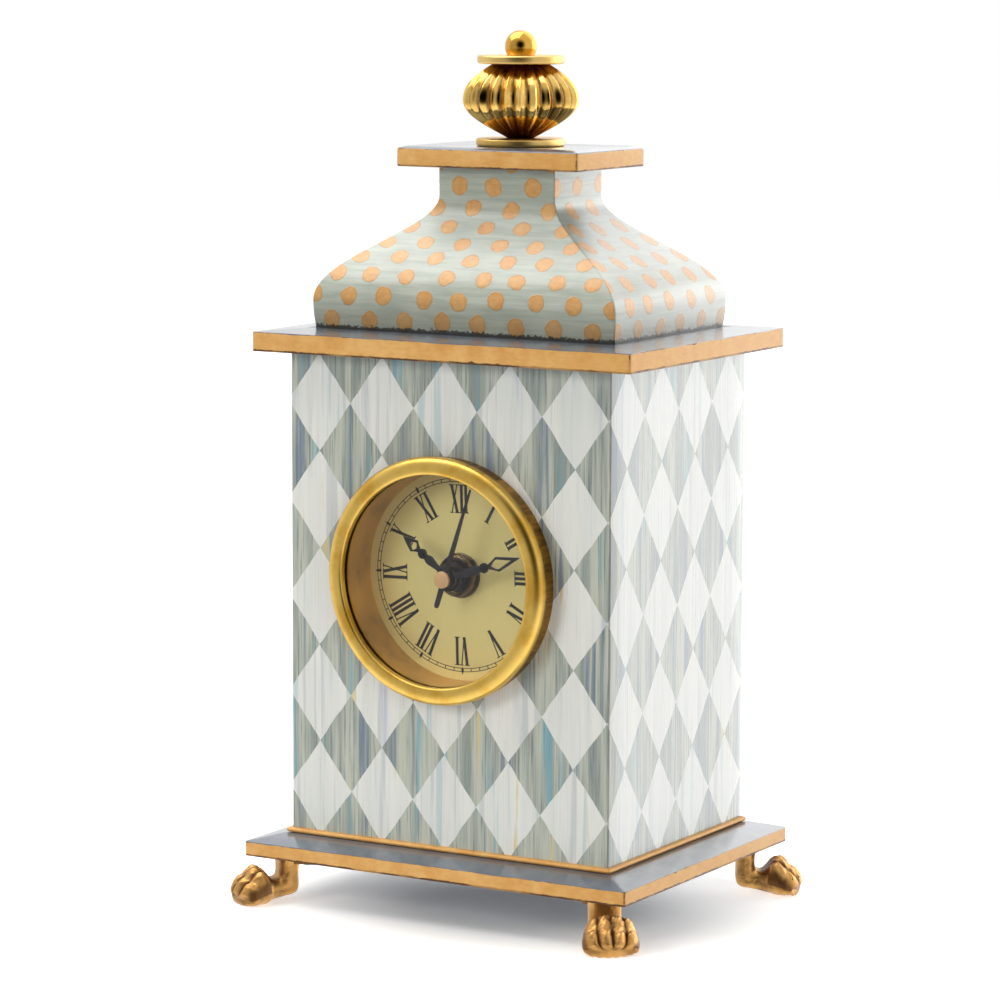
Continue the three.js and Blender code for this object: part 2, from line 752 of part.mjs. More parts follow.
// A plain tapered hand with a short rounded tail, under a flat cap with a blind hole for the arbor.
function secondHand() {
  const blade = bladeShape([[-secondTail, secondTailEnd], [secondTailRound - secondTail, secondTailWide],
    [secondTailFull - secondTail, secondTailHalf], [0, secondRootHalf], [secondPoint, secondPointHalf]]);
  const cap = turnedY([[0, -secondCapHeight], [secondCapRadius - secondCapRound, -secondCapHeight],
    [secondCapRadius, secondCapRound - secondCapHeight], [secondCapRadius, handThickness],
    [0, handThickness]], midRound);
  const hole = barY(arborHole, -secondCapSocket, handThickness + cutPast, tinyRound);
  return frontPlate(blade, 0, handThickness).add(cap).subtract(hole);
}

// Places of the gear axes in the movement's plane, as [x, z] from the hands' axis.
function bearingPoint(distance, bearing, [x, z] = [0, 0]) {
  return [x + distance * Math.cos(radians(bearing)), z + distance * Math.sin(radians(bearing))];
}

const thirdAxis = bearingPoint(thirdDistance, thirdBearing);
const intermediateAxis = bearingPoint(intermediateDistance, intermediateBearing);
const rotorAxis = bearingPoint(rotorDistance, rotorBearing, intermediateAxis);
const minuteWheelAxis = bearingPoint(motionDistance, minuteWheelBearing);
const knobAxis = bearingPoint(motionDistance, knobBearing, minuteWheelAxis);

// Front face of each layer of the movement, counted back from its front wall.
function layer(number) {
  return firstLayer + number * layerStep;
}

const hourLayer = layer(0);
const minuteLayer = layer(1);
const centreLayer = layer(2);
const thirdLayer = layer(3);
const plateLayer = layer(4);
const secondsLayer = layer(5);
const intermediateLayer = layer(6);
const statorLayer = layer(7);
const coverFront = movementDepth - movementWall;

// The module that makes two gears meet at a given distance.
function gearModule(teethA, teethB, distance) {
  return (2 * distance) / (teethA + teethB);
}

// The phase that puts a gap of the second gear on a tooth of the first, which stands at phase 0.
function meshedPhase(teethA, teethB, bearing) {
  const turn = radians(bearing);
  const past = (((turn * teethA) / (2 * Math.PI)) % 1 + 1) % 1;
  return turn + Math.PI + ((past - 0.5) * 2 * Math.PI) / teethB;
}

// A gear of this module: flat-topped teeth with V gaps between them, cut from a plate between y0 and y1.
function gear(teeth, size, y0, y1, phase = 0) {
  const pitch = (2 * Math.PI) / teeth;
  const root = size * (teeth / 2 - rootRatio);
  const tip = size * (teeth / 2 + tipRatio);
  const corners = [[root, -0.5], [tip, -flatShare], [tip, flatShare]];
  const points = Array.from({ length: teeth }, (_, k) => corners.map(([radius, share]) => {
    const angle = phase + (k + share) * pitch;
    return new THREE.Vector2(radius * Math.cos(angle), radius * Math.sin(angle));
  })).flat();
  return frontPlate(new THREE.Shape(points), y0, y1);
}

const arborHole = holeRadius(arborRadius + runningGap, tinyRound);

// The arbor of a wheel that turns between the train plate and the cover.
function backArbor() {
  return barY(arborRadius, plateLayer + pivotDepth, coverFront - endPlay, tinyRound);
}

// The stepping motor's rotor: a magnet and a small pinion on one arbor.
function rotor() {
  const size = gearModule(intermediateTeeth, rotorTeeth, rotorDistance);
  const phase = meshedPhase(intermediateTeeth, rotorTeeth, rotorBearing);
  const pinion = gear(rotorTeeth, size, intermediateLayer - endPlay, statorLayer, phase);
  const magnetFront = statorLayer - magnetLead;
  const magnet = barY(magnetRadius, magnetFront, magnetFront + magnetHeight);
  return joined([pinion, magnet, backArbor()]);
}

function intermediateWheel() {
  const wheelSize = gearModule(intermediateTeeth, rotorTeeth, rotorDistance);
  const pinionSize = gearModule(secondsTeeth, intermediatePinion, intermediateDistance);
  const wheel = gear(intermediateTeeth, wheelSize, intermediateLayer, intermediateLayer + gearThickness);
  const phase = meshedPhase(secondsTeeth, intermediatePinion, intermediateBearing);
  const pinion = gear(intermediatePinion, pinionSize, secondsLayer - endPlay, intermediateLayer, phase);
  return joined([wheel, pinion, backArbor()]);
}

// The seconds wheel's arbor runs forward through the pipes to the second hand.
function secondsWheel() {
  const wheelSize = gearModule(secondsTeeth, intermediatePinion, intermediateDistance);
  const pinionSize = gearModule(secondsPinion, thirdTeeth, thirdDistance);
  const wheel = gear(secondsTeeth, wheelSize, secondsLayer, secondsLayer + gearThickness);
  const pinion = gear(secondsPinion, pinionSize, thirdLayer - endPlay, plateLayer - endPlay);
  const hub = barY(arborRadius + bossWall, secondsLayer - endPlay, secondsLayer + gearThickness + endPlay);
  const front = dialFront - secondRise - movementFront - arborReach;
  return joined([wheel, pinion, hub, barY(arborRadius, front, coverFront - endPlay, tinyRound)]);
}

function thirdWheel() {
  const wheelSize = gearModule(secondsPinion, thirdTeeth, thirdDistance);
  const pinionSize = gearModule(thirdPinion, centreTeeth, thirdDistance);
  const wheel = gear(thirdTeeth, wheelSize, thirdLayer, thirdLayer + gearThickness,
    meshedPhase(secondsPinion, thirdTeeth, thirdBearing));
  const pinion = gear(thirdPinion, pinionSize, centreLayer - endPlay, thirdLayer);
  const arbor = barY(arborRadius, movementWall - pivotDepth + endPlay, plateLayer + pivotDepth, tinyRound);
  return joined([wheel, pinion, arbor]);
}

// The centre wheel grips the minute pipe by friction, so that the hands can be set.
function centreWheel() {
  const size = gearModule(thirdPinion, centreTeeth, thirdDistance);
  const phase = meshedPhase(thirdPinion, centreTeeth, thirdBearing + 180);
  const back = centreLayer + gearThickness;
  const bore = boreY(minutePipeRadius + runningGap, centreLayer, back, handRound);
  return gear(centreTeeth, size, centreLayer, back, phase).subtract(bore);
}

function minutePipe() {
  const size = gearModule(minutePinion, minuteTeeth, motionDistance);
  const front = dialFront - minuteRise - movementFront - pipeReach;
  const back = centreLayer + gearThickness + pipeTail;
  const pinion = gear(minutePinion, size, minuteLayer - endPlay, centreLayer - endPlay);
  const bore = boreY(arborRadius + runningGap, front, back, tinyRound);
  return barY(minutePipeRadius, front, back, handRound).add(pinion).subtract(bore);
}

function minuteWheel() {
  const wheelSize = gearModule(minutePinion, minuteTeeth, motionDistance);
  const pinionSize = gearModule(minuteWheelPinion, hourTeeth, motionDistance);
  const wheel = gear(minuteTeeth, wheelSize, minuteLayer, minuteLayer + gearThickness,
    meshedPhase(minutePinion, minuteTeeth, minuteWheelBearing));
  const pinion = gear(minuteWheelPinion, pinionSize, hourLayer - endPlay, minuteLayer);
  const bore = boreY(postRadius + runningGap, hourLayer, centreLayer, tinyRound);
  return wheel.add(pinion).subtract(bore);
}

// The hour wheel's pipe runs forward through the bush to the hour hand.
function hourWheel() {
  const size = gearModule(minuteWheelPinion, hourTeeth, motionDistance);
  const front = dialFront - hourRise - movementFront - pipeReach;
  const phase = meshedPhase(minuteWheelPinion, hourTeeth, minuteWheelBearing + 180);
  const wheel = gear(hourTeeth, size, hourLayer, hourLayer + gearThickness, phase);
  const back = hourLayer + gearThickness;
  const bore = boreY(minutePipeRadius + runningGap, front, back, handRound);
  return wheel.add(barY(hourPipeRadius, front, back, handRound)).subtract(bore);
}

// The setting knob: a pinion in mesh with the minute wheel, and a ribbed knob behind the movement.
function setKnob() {
  const size = gearModule(minuteTeeth, knobTeeth, motionDistance);
  const wheelPhase = meshedPhase(minutePinion, minuteTeeth, minuteWheelBearing);
  const phase = meshedPhase(minuteTeeth, knobTeeth, knobBearing - THREE.MathUtils.radToDeg(wheelPhase))
    + wheelPhase;
  const pinion = gear(knobTeeth, size, minuteLayer - endPlay, minuteLayer + gearThickness + endPlay, phase);
  const knobFoot = movementDepth + knobGap;
  const stem = barY(knobStemRadius, minuteLayer, knobFoot + knobHeight / 2);
  const pivot = barY(arborRadius, movementWall - pivotDepth + endPlay, minuteLayer, tinyRound);
  const knob = gear(knobRibs, (2 * knobRadius) / knobRibs, knobFoot, knobFoot + knobHeight);
  return joined([pinion, stem, pivot, knob]);
}

const half = movementSize / 2;
const chamberSide = half - movementWall;
const bayTop = -half + movementWall + bayHeight;
const chamberFoot = bayTop + movementWall;
const pillarX = chamberSide - pillarInset;
const pillarLevels = [chamberFoot + pillarInset, chamberSide - pillarInset];

// The movement's case: gear chamber above, battery bay below, threaded bush in front, posts and pivots
// inside.
function movementCase() {
  const shell = block([-half, 0, -half], [half, movementDepth, half]);
  const rear = movementDepth + cutPast;
  const chamber = block([-chamberSide, movementWall, chamberFoot], [chamberSide, rear, chamberSide]);
  const bay = block([-chamberSide, movementWall, -chamberSide], [chamberSide, rear, bayTop]);
  const bush = barY(bushRadius, -bushLength, movementWall);
  const post = barY(postRadius, 0, minuteLayer + gearThickness, tinyRound, ...minuteWheelAxis);
  const pillar = (x, z) => barY(pillarRadius, 0, plateLayer, tinyRound, x, z);
  const pillars = pillarLevels.flatMap((z) => [pillar(-pillarX, z), pillar(pillarX, z)]);
  const pivot = ([x, z]) => barY(arborHole, movementWall - pivotDepth, movementDepth, tinyRound, x, z);
  const bushBore = boreY(hourPipeRadius + runningGap, -bushLength, movementWall, handRound);
  const holes = joined([bushBore, pivot(thirdAxis), pivot(knobAxis)]);
  return joined([shell.subtract(chamber).subtract(bay), bush, post, ...pillars]).subtract(holes);
}

// A flat plate on the pillars, which carries the pivots of the going train.
function trainPlate() {
  const side = chamberSide - plateInset;
  const back = plateLayer + gearThickness;
  const plate = frontPlate(rectangle(-side, side, chamberFoot + plateInset, side), plateLayer, back);
  const hole = ([x, z]) => boreY(arborRadius + runningGap, plateLayer, back, tinyRound, x, z);
  const holes = [[0, 0], thirdAxis, intermediateAxis, rotorAxis].map(hole);
  const stemHole = boreY(knobStemRadius + runningGap, plateLayer, back, midRound, ...knobAxis);
  return plate.subtract(joined([...holes, stemHole]));
}

// The chamber's cover, with a drilled boss behind each arbor of the going train.
function movementCover() {
  const side = chamberSide - seatGap;
  const shape = rectangle(-side, side, chamberFoot + seatGap, side);
  const plate = frontPlate(shape, coverFront, movementDepth);
  const magnetBack = statorLayer - magnetLead + magnetHeight;
  const bosses = [[secondsLayer + gearThickness, [0, 0]], [magnetBack, rotorAxis],
    [intermediateLayer + gearThickness, intermediateAxis]];
  const boss = arborRadius + bossWall;
  const peg = ([back, [x, z]]) => barY(boss, back + 2 * endPlay, movementDepth, smallRound, x, z);
  const pegs = bosses.map(peg);
  const pivots = bosses.map(([, [x, z]]) => barY(arborHole, 0, coverFront, tinyRound, x, z));
  const stemHole = boreY(knobStemRadius + runningGap, coverFront, movementDepth, midRound, ...knobAxis);
  return joined([plate, ...pegs]).subtract(joined([...pivots, stemHole]));
}

const [coilLow, coilHigh] = [coilZ - coilLength / 2, coilZ + coilLength / 2];
const statorFront = statorLayer + statorSetBack;

// The coil: a bobbin wound with copper on a flat core, whose ends lie on the stator.
function coil() {
  const flange = coilRadius + coilFlangeRim;
  const [low, high] = [coilLow + coilFlange, coilHigh - coilFlange];
  const profile = [[0, coilLow], [flange, coilLow], [flange, low], [coilRadius, low], [coilRadius, high],
    [flange, high], [flange, coilHigh], [0, coilHigh]];
  const y = statorFront - coilCoreThickness / 2;
  const wound = solid(latheGeometry(profile, smallRound).rotateX(Math.PI / 2).translate(coilX, y, 0));
  const half = coilCoreWidth / 2;
  return wound.add(block([coilX - half, statorFront - coilCoreThickness, coilLow - coilCoreEnd],
    [coilX + half, statorFront, coilHigh + coilCoreEnd]));
}

// The stator: a flat steel yoke round the rotor, with an arm to each end of the coil's core.
function stator() {
  const [x, z] = rotorAxis;
  const [low, high] = [coilLow - statorGap, coilHigh + statorGap];
  const [foot, top] = [low - statorArm, high + statorArm];
  const [left, right] = [x - magnetRadius - yokeOut, x + magnetRadius + yokeIn];
  const armEnd = coilX + armPastCoil;
  const shapes = [rectangle(left, right, foot, top), rectangle(left, armEnd, foot, low),
    rectangle(left, armEnd, high, top)];
  const back = statorFront + statorThickness;
  const plates = shapes.map((shape) => frontPlate(shape, statorFront, back));
  return joined(plates).subtract(boreY(magnetRadius + magnetGap, statorFront, back, midRound, x, z));
}

// The circuit: a small board with a potted chip and the quartz crystal's can.
function circuitBoard() {
  const back = plateLayer + gearThickness;
  const face = back + circuitThickness;
  const [left, top] = [circuitInset - chamberSide, chamberSide - circuitInset];
  const right = left + circuitSize;
  const board = block([left, back, top - circuitSize], [right, face, top]);
  const blob = [[0, back], [chipRadius, back], [chipRadius, face + chipFoot],
    [chipRadius / 2, face + chipHeight], [0, face + chipHeight]];
  const chip = solid(latheGeometry(blob, smallRound).translate(left + chipFromEdge, 0, top - chipBelowTop));
  const canTop = top - crystalRadius;
  const can = barZ(crystalRadius, canTop - crystalLength, canTop, tinyRound, right - crystalFromEdge,
    face + crystalRadius / 2);
  return joined([board, chip, can]);
}

// An AA cell lying along X in the bay, with its nub to the right.
function battery() {
  const [x0, x1] = [-(batteryLength + batteryNub) / 2, (batteryLength + batteryNub) / 2];
  const body = x1 - batteryNub;
  const inner = batteryRadius - batteryEdge;
  const profile = [[0, x0], [inner, x0], [batteryRadius, x0 + batteryEdge],
    [batteryRadius, body - batteryEdge], [inner, body], [batteryNubRadius, body], [batteryNubRadius, x1],
    [0, x1]];
  return solid(latheGeometry(profile, discRound / 2).rotateZ(-Math.PI / 2));
}

// Battery contacts: a flat plate on two folds at the nub, and a bowed leaf at the other end.
function contact(points) {
  const shape = new THREE.Shape(points.map(([x, y]) => new THREE.Vector2(x, y)));
  const geometry = new THREE.ExtrudeGeometry(shape, { depth: contactWidth, bevelEnabled: false });
  return solid(geometry.translate(0, 0, -contactWidth / 2));
}

const batteryEnd = (batteryLength + batteryNub) / 2;
const batteryY = movementWall + seatGap + batteryRadius;
const batteryZ = bayTop - bayHeight / 2;

function positiveContact() {
  const inner = batteryEnd + seatGap;
  const [low, high] = [-contactWidth / 2, contactWidth / 2];
  return contact([[inner, low], [chamberSide, low], [chamberSide, low + contactThickness],
    [inner + contactThickness, low + contactThickness], [inner + contactThickness, high - contactThickness],
    [chamberSide, high - contactThickness], [chamberSide, high], [inner, high]]);
}

function negativeContact() {
  const tip = -batteryEnd - seatGap;
  const rear = tip - contactThickness;
  const inner = springHalf - springFoot;
  return contact([[-chamberSide, -springHalf], [tip, -springFoot], [tip, springFoot],
    [-chamberSide, springHalf], [-chamberSide, inner], [rear, springTip], [rear, -springTip],
    [-chamberSide, -inner]]);
}

// Half a hinge, from its axis: a leaf against the back of the case and its share of the knuckles.
function hingeLeaf(side, knuckles) {
  const clear = knuckleRadius + knuckleGap;
  const z = hingeHeight / 2;
  const leafY = [-knuckleRadius, -knuckleRadius + hingeLeafThickness];
  const ordered = (from, to) => (side > 0 ? [from, to] : [-to, -from]);
  const [x0, x1] = ordered(clear, hingeLeafWidth);
  const [t0, t1] = ordered(0, hingeLeafWidth / 2);
  const leaf = block([x0, leafY[0], -z], [x1, leafY[1], z]);
  const loops = knuckles.flatMap(([low, high]) => [barZ(knuckleRadius, low, high, smallRound),
    block([t0, leafY[0], low], [t1, leafY[1], high])]);
  return joined([leaf, ...loops]);
}

const knuckleEnd = hingeHeight / 6;

function hingeFrameLeaf() {
  const pin = barZ(hingePinRadius, -hingeHeight / 2, hingeHeight / 2, tinyRound);
  return hingeLeaf(1, [[-hingeHeight / 2, -knuckleEnd], [knuckleEnd, hingeHeight / 2]]).add(pin);
}

function hingeDoorLeaf() {
  const end = knuckleEnd - endPlay;
  return hingeLeaf(-1, [[-end, end]]).subtract(boreZ(hingePinRadius + runningGap, -end, end, tinyRound));
}

const hingeX = doorOpeningWidth / 2 - doorGap / 2;
const hingeY = caseBack + knuckleRadius;
const doorFreeX = -doorOpeningWidth / 2 + doorGap;
const doorFront = caseBack - doorThickness;
const knobX = doorFreeX + doorKnobInset;
const catchPlateX = doorFreeX + catchPlateMargin;

function backDoor() {
  const z = doorOpeningHeight / 2 - doorGap;
  const hungX = doorOpeningWidth / 2 - doorGap;
  const panel = block([doorFreeX, doorFront, caseMiddle - z], [hungX, caseBack, caseMiddle + z]);
  const knobHole = boreY(doorKnobShank + seatGap, doorFront, caseBack, smallRound, knobX, caseMiddle);
  const pocketZ = catchLength / 2 + seatGap;
  const pocketBack = doorFront + catchPlateThickness + 2 * seatGap;
  const pocket = block([catchPlateX - seatGap, doorFront - cutPast, caseMiddle - pocketZ],
    [catchPlateX + catchOverlap + seatGap, pocketBack, caseMiddle + pocketZ]);
  return panel.subtract(knobHole).subtract(pocket);
}

function doorKnob() {
  const foot = doorFront + seatGap;
  const outside = doorKnobProfile.map(([radius, along]) => [radius, caseBack + along]);
  return turnedY([[0, foot], [doorKnobShank, foot], [doorKnobShank, caseBack], ...outside], knobRound);
}

// A magnet block behind the free edge of the opening, with a nose that stops the door, and its plate in the
// door.
function magnetCatch() {
  const front = caseBack - wall - catchDepth;
  const edge = -doorOpeningWidth / 2;
  const [low, high] = [caseMiddle - catchLength / 2, caseMiddle + catchLength / 2];
  const foot = stileWidth - wall - catchWallGap;
  const base = block([edge - foot, front, low], [edge, caseBack - wall, high]);
  return base.add(block([edge, front, low], [catchPlateX + catchOverlap, doorFront, high]));
}

function catchPlate() {
  const front = doorFront + seatGap;
  const z = catchLength / 2;
  return block([catchPlateX, front, caseMiddle - z], [catchPlateX + catchOverlap, front + catchPlateThickness,
    caseMiddle + z]);
}

function addStand(clock) {
  place(clock, 'base_slab', baseSlab(), slatePaint);
  place(clock, 'foot_bead', footBead(), gildedMetal);
  for (const spot of footPlaces()) {
    place(clock, `foot_${spot.name}`, foot(), gildedMetal, [spot.x, spot.y, 0]).rotation.z = spot.turn;
    const under = [...footScrewPlace(spot), footHeight - tabThickness];
    place(clock, `foot_screw_${spot.name}`, footScrew(), steel, under);
  }
}

function addCase(clock) {
  place(clock, 'front_panel', frontPanel(), ivoryPaint);
  place(clock, 'left_panel', sidePanel(-1), ivoryPaint);
  place(clock, 'right_panel', sidePanel(1), ivoryPaint);
  place(clock, 'back_frame', backFrame(), ivoryPaint);
  place(clock, 'cornice_slab', corniceSlab(), slatePaint);
  place(clock, 'roof', roof(), sagePaint);
  place(clock, 'cap_slab', capSlab(), slatePaint);
}

function addFinial(clock) {
  place(clock, 'finial_lower_disc', finialDisc(lowerDiscRadius, capTop, lowerDiscHeight), brass);
  place(clock, 'finial_melon', finialMelon(), brass);
  place(clock, 'finial_upper_disc', finialDisc(upperDiscRadius, melonTop, upperDiscHeight), brass);
  place(clock, 'finial_ball', finialBall(), brass);
  const rod = barZ(rodRadius, caseTop - rodBelowCornice, ballFoot + rodIntoBall, smallRound);
  place(clock, 'tie_rod', rod, steel);
  place(clock, 'tie_rod_nut', tieRodNut(), steel);
}

function addDoor(clock) {
  place(clock, 'back_door', backDoor(), ivoryPaint);
  place(clock, 'door_knob', doorKnob(), brass, [knobX, 0, caseMiddle]);
  place(clock, 'magnet_catch', magnetCatch(), blackPlastic);
  place(clock, 'catch_plate', catchPlate(), steel);
  const ends = [['lower', -1], ['upper', 1]];
  for (const [level, up] of ends) {
    const z = caseMiddle + up * (doorOpeningHeight / 2 - hingeFromEnd);
    place(clock, `${level}_hinge_frame_leaf`, hingeFrameLeaf(), brass, [hingeX, hingeY, z]);
    place(clock, `${level}_hinge_door_leaf`, hingeDoorLeaf(), brass, [hingeX, hingeY, z]);
  }
}

function addDrum(clock) {
  const axis = [0, 0, dialHeight];
  const inside = drumBoreRadius - seatGap;
  const bushHole = bushRadius + seatGap;
  const glassBack = glassFront + glassThickness;
  const nutBack = dialFront - dialWasherHeight;
  const dial = washerY(inside, bushHole, dialFront, drumBackFront, bigRound);
  const back = washerY(drumBackRadius, bushHole, drumBackFront, movementFront, bigRound);
  place(clock, 'bezel_drum', bezelDrum(), brass, axis);
  place(clock, 'crystal', barY(inside, glassFront, glassBack, bigRound), clearGlass, axis);
  place(clock, 'inner_sleeve', innerSleeve(), mattBrass, axis);
  place(clock, 'dial', dial, dialGilt, axis);
  place(clock, 'drum_back', back, steel, axis);
  place(clock, 'dial_washer', washerY(dialWasherRadius, bushHole, nutBack, dialFront), bronze, axis);
  place(clock, 'dial_nut', washerY(dialNutRadius, bushHole, nutBack - dialNutHeight, nutBack), bronze, axis);
}

// The movement and the hands share one group, whose origin is on the hands' axis at the movement's front
// face.
function addMovement(clock) {
  const movement = new THREE.Group();
  movement.position.set(0, movementFront, dialHeight);
  clock.add(movement);
  const at = ([x, z]) => [x, 0, z];
  place(movement, 'movement_case', movementCase(), blackPlastic);
  place(movement, 'movement_cover', movementCover(), blackPlastic);
  place(movement, 'train_plate', trainPlate(), whitePlastic);
  place(movement, 'stator', stator(), steel);
  place(movement, 'coil', coil(), copper);
  place(movement, 'circuit_board', circuitBoard(), greenBoard);
  place(movement, 'rotor', rotor(), steel, at(rotorAxis));
  place(movement, 'intermediate_wheel', intermediateWheel(), whitePlastic, at(intermediateAxis));
  place(movement, 'seconds_wheel', secondsWheel(), whitePlastic);
  place(movement, 'third_wheel', thirdWheel(), whitePlastic, at(thirdAxis));
  place(movement, 'centre_wheel', centreWheel(), whitePlastic);
  place(movement, 'minute_pipe', minutePipe(), brass);
  place(movement, 'minute_wheel', minuteWheel(), whitePlastic, at(minuteWheelAxis));
  place(movement, 'hour_wheel', hourWheel(), whitePlastic);
  place(movement, 'set_knob', setKnob(), whitePlastic, at(knobAxis));
  place(movement, 'battery', battery(), batteryFoil, [0, batteryY, batteryZ]);
  place(movement, 'contact_positive', positiveContact(), steel, [0, batteryY, batteryZ]);
  place(movement, 'contact_negative', negativeContact(), steel, [0, batteryY, batteryZ]);
  const hands = [['hour_hand', ornateHand(hourPipeRadius, hourBlade), hourRise, hourTurn],
    ['minute_hand', ornateHand(minutePipeRadius, minuteBlade), minuteRise, minuteTurn],
    ['second_hand', secondHand(), secondRise, secondTurn]];
  for (const [name, body, rise, turn] of hands) {
    const front = dialFront - rise - movementFront;
    place(movement, name, body, blackMetal, [0, front, 0]).rotation.y = radians(turn);
  }
}

// Moves the clock so that the middle of its footprint stands on the origin, to a hundredth of a millimetre.
function centred(clock) {
  const middle = new THREE.Box3().setFromObject(clock, true).getCenter(new THREE.Vector3());
  clock.position.y = -Math.round(middle.y / centreStep) * centreStep;
  return clock;
}

const clock = new THREE.Group();
addStand(clock);
addCase(clock);
addFinial(clock);
addDoor(clock);
addDrum(clock);
addMovement(clock);

export default centred(clock);
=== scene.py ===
from types import SimpleNamespace
import bpy
import numpy as np
from mathutils import Matrix, Vector


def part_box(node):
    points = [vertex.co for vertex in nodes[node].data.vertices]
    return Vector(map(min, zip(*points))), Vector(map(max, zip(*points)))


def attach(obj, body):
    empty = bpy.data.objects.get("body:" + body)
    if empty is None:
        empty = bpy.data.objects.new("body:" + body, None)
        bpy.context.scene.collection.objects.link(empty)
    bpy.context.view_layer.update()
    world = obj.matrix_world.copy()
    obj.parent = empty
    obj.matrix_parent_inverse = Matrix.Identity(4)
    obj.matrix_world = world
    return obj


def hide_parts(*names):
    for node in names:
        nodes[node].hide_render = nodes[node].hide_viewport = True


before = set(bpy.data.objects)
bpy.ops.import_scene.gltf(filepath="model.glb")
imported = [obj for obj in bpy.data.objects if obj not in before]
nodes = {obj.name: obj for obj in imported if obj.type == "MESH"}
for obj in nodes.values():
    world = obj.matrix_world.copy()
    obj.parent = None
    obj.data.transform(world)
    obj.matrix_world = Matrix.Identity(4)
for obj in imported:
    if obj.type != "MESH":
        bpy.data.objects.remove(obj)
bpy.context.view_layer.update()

# Base slab. A hardwood plinth: its upright edge is gilded and rubbed back to the dark ground, and its top is painted
# steel blue and rises to the foot of the case. The corners are only just rounded by sanding and paint.
mm = 0.001


def box_of(name):
    """A CAD node's box: its lowest and highest corners, its middle and half its size."""
    low, high = (np.array(corner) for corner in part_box(name))
    return SimpleNamespace(low=low, high=high, middle=(low + high) / 2, half=(high - low) / 2)


wall = box_of("front_panel")
back_frame = box_of("back_frame")
case_back = back_frame.high[1]
case_y = (case_back + wall.low[1]) / 2
case_half = np.array([wall.half[0], (case_back - wall.low[1]) / 2])
slab = box_of("base_slab")
slab_corner, slab_arris, bead_step = 0.9 * mm, 0.35 * mm, 1.5 * mm


def put_mesh(name, points, faces, creases=35):
    """A smooth-shaded mesh object from an array of points and a list of faces, sharp where faces meet past creases."""
    mesh = bpy.data.meshes.new(name)
    mesh.from_pydata(np.asarray(points, dtype=float).reshape(-1, 3).tolist(), [], faces)
    mesh.shade_smooth()
    mesh.set_sharp_from_angle(angle=np.radians(creases))
    piece = bpy.data.objects.new(name, mesh)
    bpy.context.scene.collection.objects.link(piece)
    return piece


def skin_faces(rows, columns, ring=False):
    """Quads between rows of points that each close on themselves. A ring also joins its last row to its first, and
    without it a flat face closes the first row and another the last."""
    row = np.arange(rows if ring else rows - 1)[:, None]
    column = np.arange(columns)[None, :]
    after = (column + 1) % columns
    above = (row + 1) % rows
    quads = np.stack(np.broadcast_arrays(row * columns + column, row * columns + after,
                                         above * columns + after, above * columns + column), axis=-1)
    ends = [] if ring else [list(range(columns))[::-1], list(range((rows - 1) * columns, rows * columns))]
    return quads.reshape(-1, 4).tolist() + ends


def closed_skin(name, grid, ring=False, creases=35):
    """A closed surface through rows of points, joined as a ring or closed by a flat face at each end."""
    return put_mesh(name, grid, skin_faces(*grid.shape[:2], ring), creases)


def rectangle_rows(half_x, half_y, heights, corner, centre=(0, 0), steps=6):
    """Rows of a rectangular moulding: at each height a rectangle of these half sizes with round corners. A corner
    is a quarter circle of the corner radius, whose middle is that radius in from both sides."""
    half_x, half_y, heights = np.broadcast_arrays(*(np.asarray(v, float) for v in (half_x, half_y, heights)))
    turn = np.radians(np.arange(4)[:, None] * 90 + np.linspace(0, 90, steps + 1)[None, :]).ravel()
    side_x = np.repeat([1, -1, -1, 1], steps + 1)
    side_y = np.repeat([1, 1, -1, -1], steps + 1)
    x = centre[0] + (half_x[:, None] - corner) * side_x + corner * np.cos(turn)
    y = centre[1] + (half_y[:, None] - corner) * side_y + corner * np.sin(turn)
    return np.stack([x, y, np.broadcast_to(heights[:, None], x.shape)], axis=-1)


def eased(profile, radius, steps=4):
    """A polyline with each inner corner replaced by a short curve: the quadratic curve that starts and ends at this
    distance from the corner, and no further along than half of either side."""
    profile = np.asarray(profile, float)
    made = [profile[:1]]
    share = np.linspace(0, 1, steps + 1)[:, None]
    for before, corner, after in zip(profile, profile[1:], profile[2:]):
        lengths = [np.linalg.norm(end - corner) for end in (before, after)]
        reach = [min(radius, length / 2) / length for length in lengths]
        first, last = corner + (before - corner) * reach[0], corner + (after - corner) * reach[1]
        made.append((1 - share) ** 2 * first + 2 * share * (1 - share) * corner + share ** 2 * last)
    return np.vstack(made + [profile[-1:]])


class Value:
    """A number, vector or colour that shader nodes work out. Arithmetic on it adds nodes, so that a pattern can be
    written as its formula."""
    __array_ufunc__ = None  # numpy's numbers leave the arithmetic to this class

    def __init__(self, socket):
        self.socket = socket

    def twin(self, output):
        """Another output of the same node."""
        return Value(self.socket.node.outputs[output])

    def __add__(self, other):
        return math("ADD", self, other)

    def __sub__(self, other):
        return math("SUBTRACT", self, other)

    def __rsub__(self, other):
        return math("SUBTRACT", other, self)

    def __mul__(self, other):
        return math("MULTIPLY", self, other)

    def __truediv__(self, other):
        return math("DIVIDE", self, other)

    def __abs__(self):
        return math("ABSOLUTE", self)


def wire(inputs, values):
    """Gives each named input a plain number, or links to it a value that nodes work out."""
    for key, value in values.items():
        if isinstance(value, Value):
            value.socket.id_data.links.new(value.socket, inputs[key])
        else:
            inputs[key].default_value = value


def node(kind, wires, output=0, tree=None, **settings):
    """Adds a shader node to a tree, or to that of the values that it is fed, and returns one of its outputs."""
    if tree is None:
        tree = next(value.socket.id_data for value in wires.values() if isinstance(value, Value))
    made = tree.nodes.new("ShaderNode" + kind)
    for key, value in settings.items():
        setattr(made, key, value)
    wire(made.inputs, wires)
    return Value(made.outputs[output])


def math(operation, *terms):
    """A Math node over these terms."""
    return node("Math", dict(enumerate(terms)), operation=operation)


def vectors(operation, *terms, output=0):
    """A Vector Math node over these terms."""
    return node("VectorMath", dict(enumerate(terms)), output, operation=operation)


